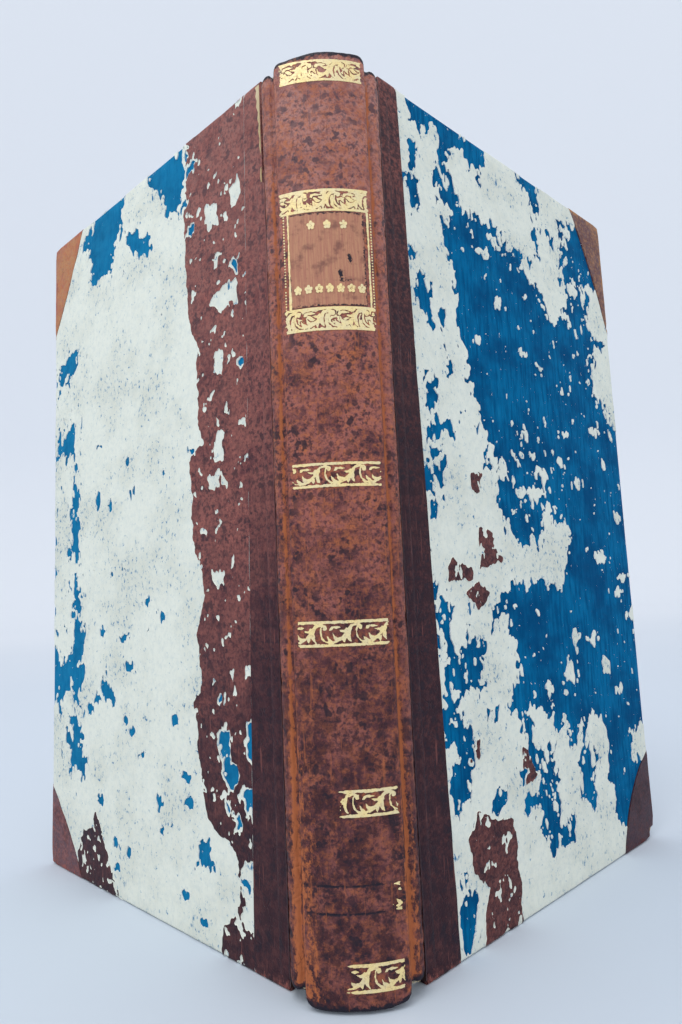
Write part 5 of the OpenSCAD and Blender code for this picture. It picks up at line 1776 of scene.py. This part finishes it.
class BOOK_OT_inside(BookOperator, bpy.types.Operator):
    """Give the boards, cords and lining that stay as they are their finish"""
    bl_idname = "book.inside"
    bl_label = "Boards, Cords and Lining"

    def execute(self, context):
        c = settings().colours
        board = pasteboard("pasteboard")
        hemp = twisted("hemp_cord", c.hemp, c.board)
        card = plain_paper("lining_card", c.board, 0.08, 0.3, "object")
        finishes = {"front_board": board, "back_board": board, "front_cord_slips": hemp,
                    "back_cord_slips": hemp, "sewing_cords": hemp, "spine_lining": card}
        for name, material in finishes.items():
            solid = bpy.data.objects[name]
            if not solid.material_slots:
                solid.data.materials.append(material)
            for place in solid.material_slots:
                place.material = material
        return {"FINISHED"}


# Camera that matches the photograph, found from the corners of the boards and the spine
CAMERA_AT = Vector((0.44, -163.53, 67.72)) * MM
CAMERA_YAW, CAMERA_PITCH, CAMERA_ROLL = (math.radians(a) for a in (0.05, 6.72, -2.54))
FOCAL_PIXELS, LONG_SIDE = 666.66, 1024
LEFT_SHARE = 1.12   # the left lamp's power as a share of the right one's
# Half the width of the floor, its near and far edge, and the bend and top of the backdrop
FLOOR_HALF, FLOOR_NEAR, FLOOR_FAR, BEND_R, BACKDROP_TOP = 3000, -2200, 1400, 600, 2600


class BOOK_OT_stage(BookOperator, bpy.types.Operator):
    """Set up the pale floor, the soft light and the camera"""
    bl_idname = "book.stage"
    bl_label = "Stage"

    def execute(self, context):
        scene, s = context.scene, settings().stage
        self.floor()
        self.camera(scene)
        middle = 0, -0.02, 0.09
        self.light("head_light", (-0.16, -0.34, 0.65), (0, -0.03, 0.12), 0.4, s.key, (1.0, 0.99, 0.96))
        self.light("left_light", (-0.75, -0.5, 0.3), middle, 0.6, LEFT_SHARE * s.fill, (0.93, 0.97, 1.0))
        self.light("right_light", (0.75, -0.5, 0.3), middle, 0.6, s.fill, (1.0, 0.98, 0.94))
        world = scene.world or bpy.data.worlds.new("studio")
        scene.world = world
        world.use_nodes = True
        back = world.node_tree.nodes["Background"]
        back.inputs["Color"].default_value = (0.9, 0.94, 1.0, 1)
        back.inputs["Strength"].default_value = s.sky
        scene.view_settings.view_transform = "Standard"
        return {"FINISHED"}

    def floor(self):
        """A floor that curves up into a backdrop far behind."""
        angles = np.radians(np.linspace(0, 90, 19))
        rise = [(FLOOR_FAR + BEND_R * math.sin(a), BEND_R - BEND_R * math.cos(a)) for a in angles]
        profile = [(FLOOR_NEAR, 0), (FLOOR_FAR, 0), *rise[1:], (FLOOR_FAR + BEND_R, BACKDROP_TOP)]
        points = [(x, y, z) for x in (-FLOOR_HALF, FLOOR_HALF) for y, z in profile]
        n = len(profile)
        faces = [(i, n + i, n + i + 1, i + 1) for i in range(n - 1)]
        shape = Shape()
        shape.add(points, faces)
        shape.piece("studio_floor", [studio_floor("studio_floor")], sharp=80)

    def camera(self, scene):
        """A camera where the photograph was taken from."""
        ahead = Vector((math.sin(CAMERA_YAW) * math.cos(CAMERA_PITCH),
                        math.cos(CAMERA_YAW) * math.cos(CAMERA_PITCH), math.sin(CAMERA_PITCH)))
        right = Vector((math.cos(CAMERA_YAW), -math.sin(CAMERA_YAW), 0))
        up = right.cross(ahead)
        tilted = right * math.cos(CAMERA_ROLL) + up * math.sin(CAMERA_ROLL)
        up = up * math.cos(CAMERA_ROLL) - right * math.sin(CAMERA_ROLL)
        data = bpy.data.cameras.new("camera")
        data.lens = FOCAL_PIXELS * data.sensor_width / LONG_SIDE
        data.clip_start = 0.005
        camera = put("camera", data)
        turn = Matrix((tilted, up, -ahead)).transposed()
        camera.matrix_world = Matrix.Translation(CAMERA_AT) @ turn.to_4x4()
        scene.camera = camera

    def light(self, name, place, target, size, power, shade):
        """A large soft lamp that faces the book."""
        data = bpy.data.lights.new(name, "AREA")
        data.shape, data.size, data.energy, data.color = "DISK", size, power, shade
        lamp = put(name, data)
        lamp.location = place
        lamp.rotation_euler = (Vector(target) - Vector(place)).to_track_quat("-Z", "Y").to_euler()


class BOOK_PT_panel(bpy.types.Panel):
    """The book's operators and settings"""
    bl_idname = "BOOK_PT_panel"
    bl_label = "Antique Leather Book"
    bl_space_type = "VIEW_3D"
    bl_region_type = "UI"
    bl_category = "Book"

    def draw(self, context):
        for operator in OPERATORS:
            self.layout.operator(operator.bl_idname)
        for key in ("covers", "spine", "leaves", "colours", "stage"):
            group = getattr(settings(), key)
            box = self.layout.box()
            box.label(text=key.capitalize())
            for name in group.__annotations__:
                box.prop(group, name)


OPERATORS = [BOOK_OT_wrappings, BOOK_OT_torn_paper, BOOK_OT_spine, BOOK_OT_gilding, BOOK_OT_title,
             BOOK_OT_leaves, BOOK_OT_endbands, BOOK_OT_endpapers, BOOK_OT_joints, BOOK_OT_inside,
             BOOK_OT_stage]
CLASSES = [BookCovers, BookSpine, BookLeaves, BookColours, BookStage, BookSettings, *OPERATORS,
           BOOK_PT_panel]


def register():
    for cls in CLASSES:
        bpy.utils.register_class(cls)
    bpy.types.Scene.antique_book = PointerProperty(type=BookSettings)


def unregister():
    del bpy.types.Scene.antique_book
    for cls in reversed(CLASSES):
        bpy.utils.unregister_class(cls)


def main():
    """Registers the add-on and makes every piece."""
    register()
    for operator in OPERATORS:
        group, name = operator.bl_idname.split(".")
        getattr(getattr(bpy.ops, group), name)()


if __name__ == "__main__":
    main()
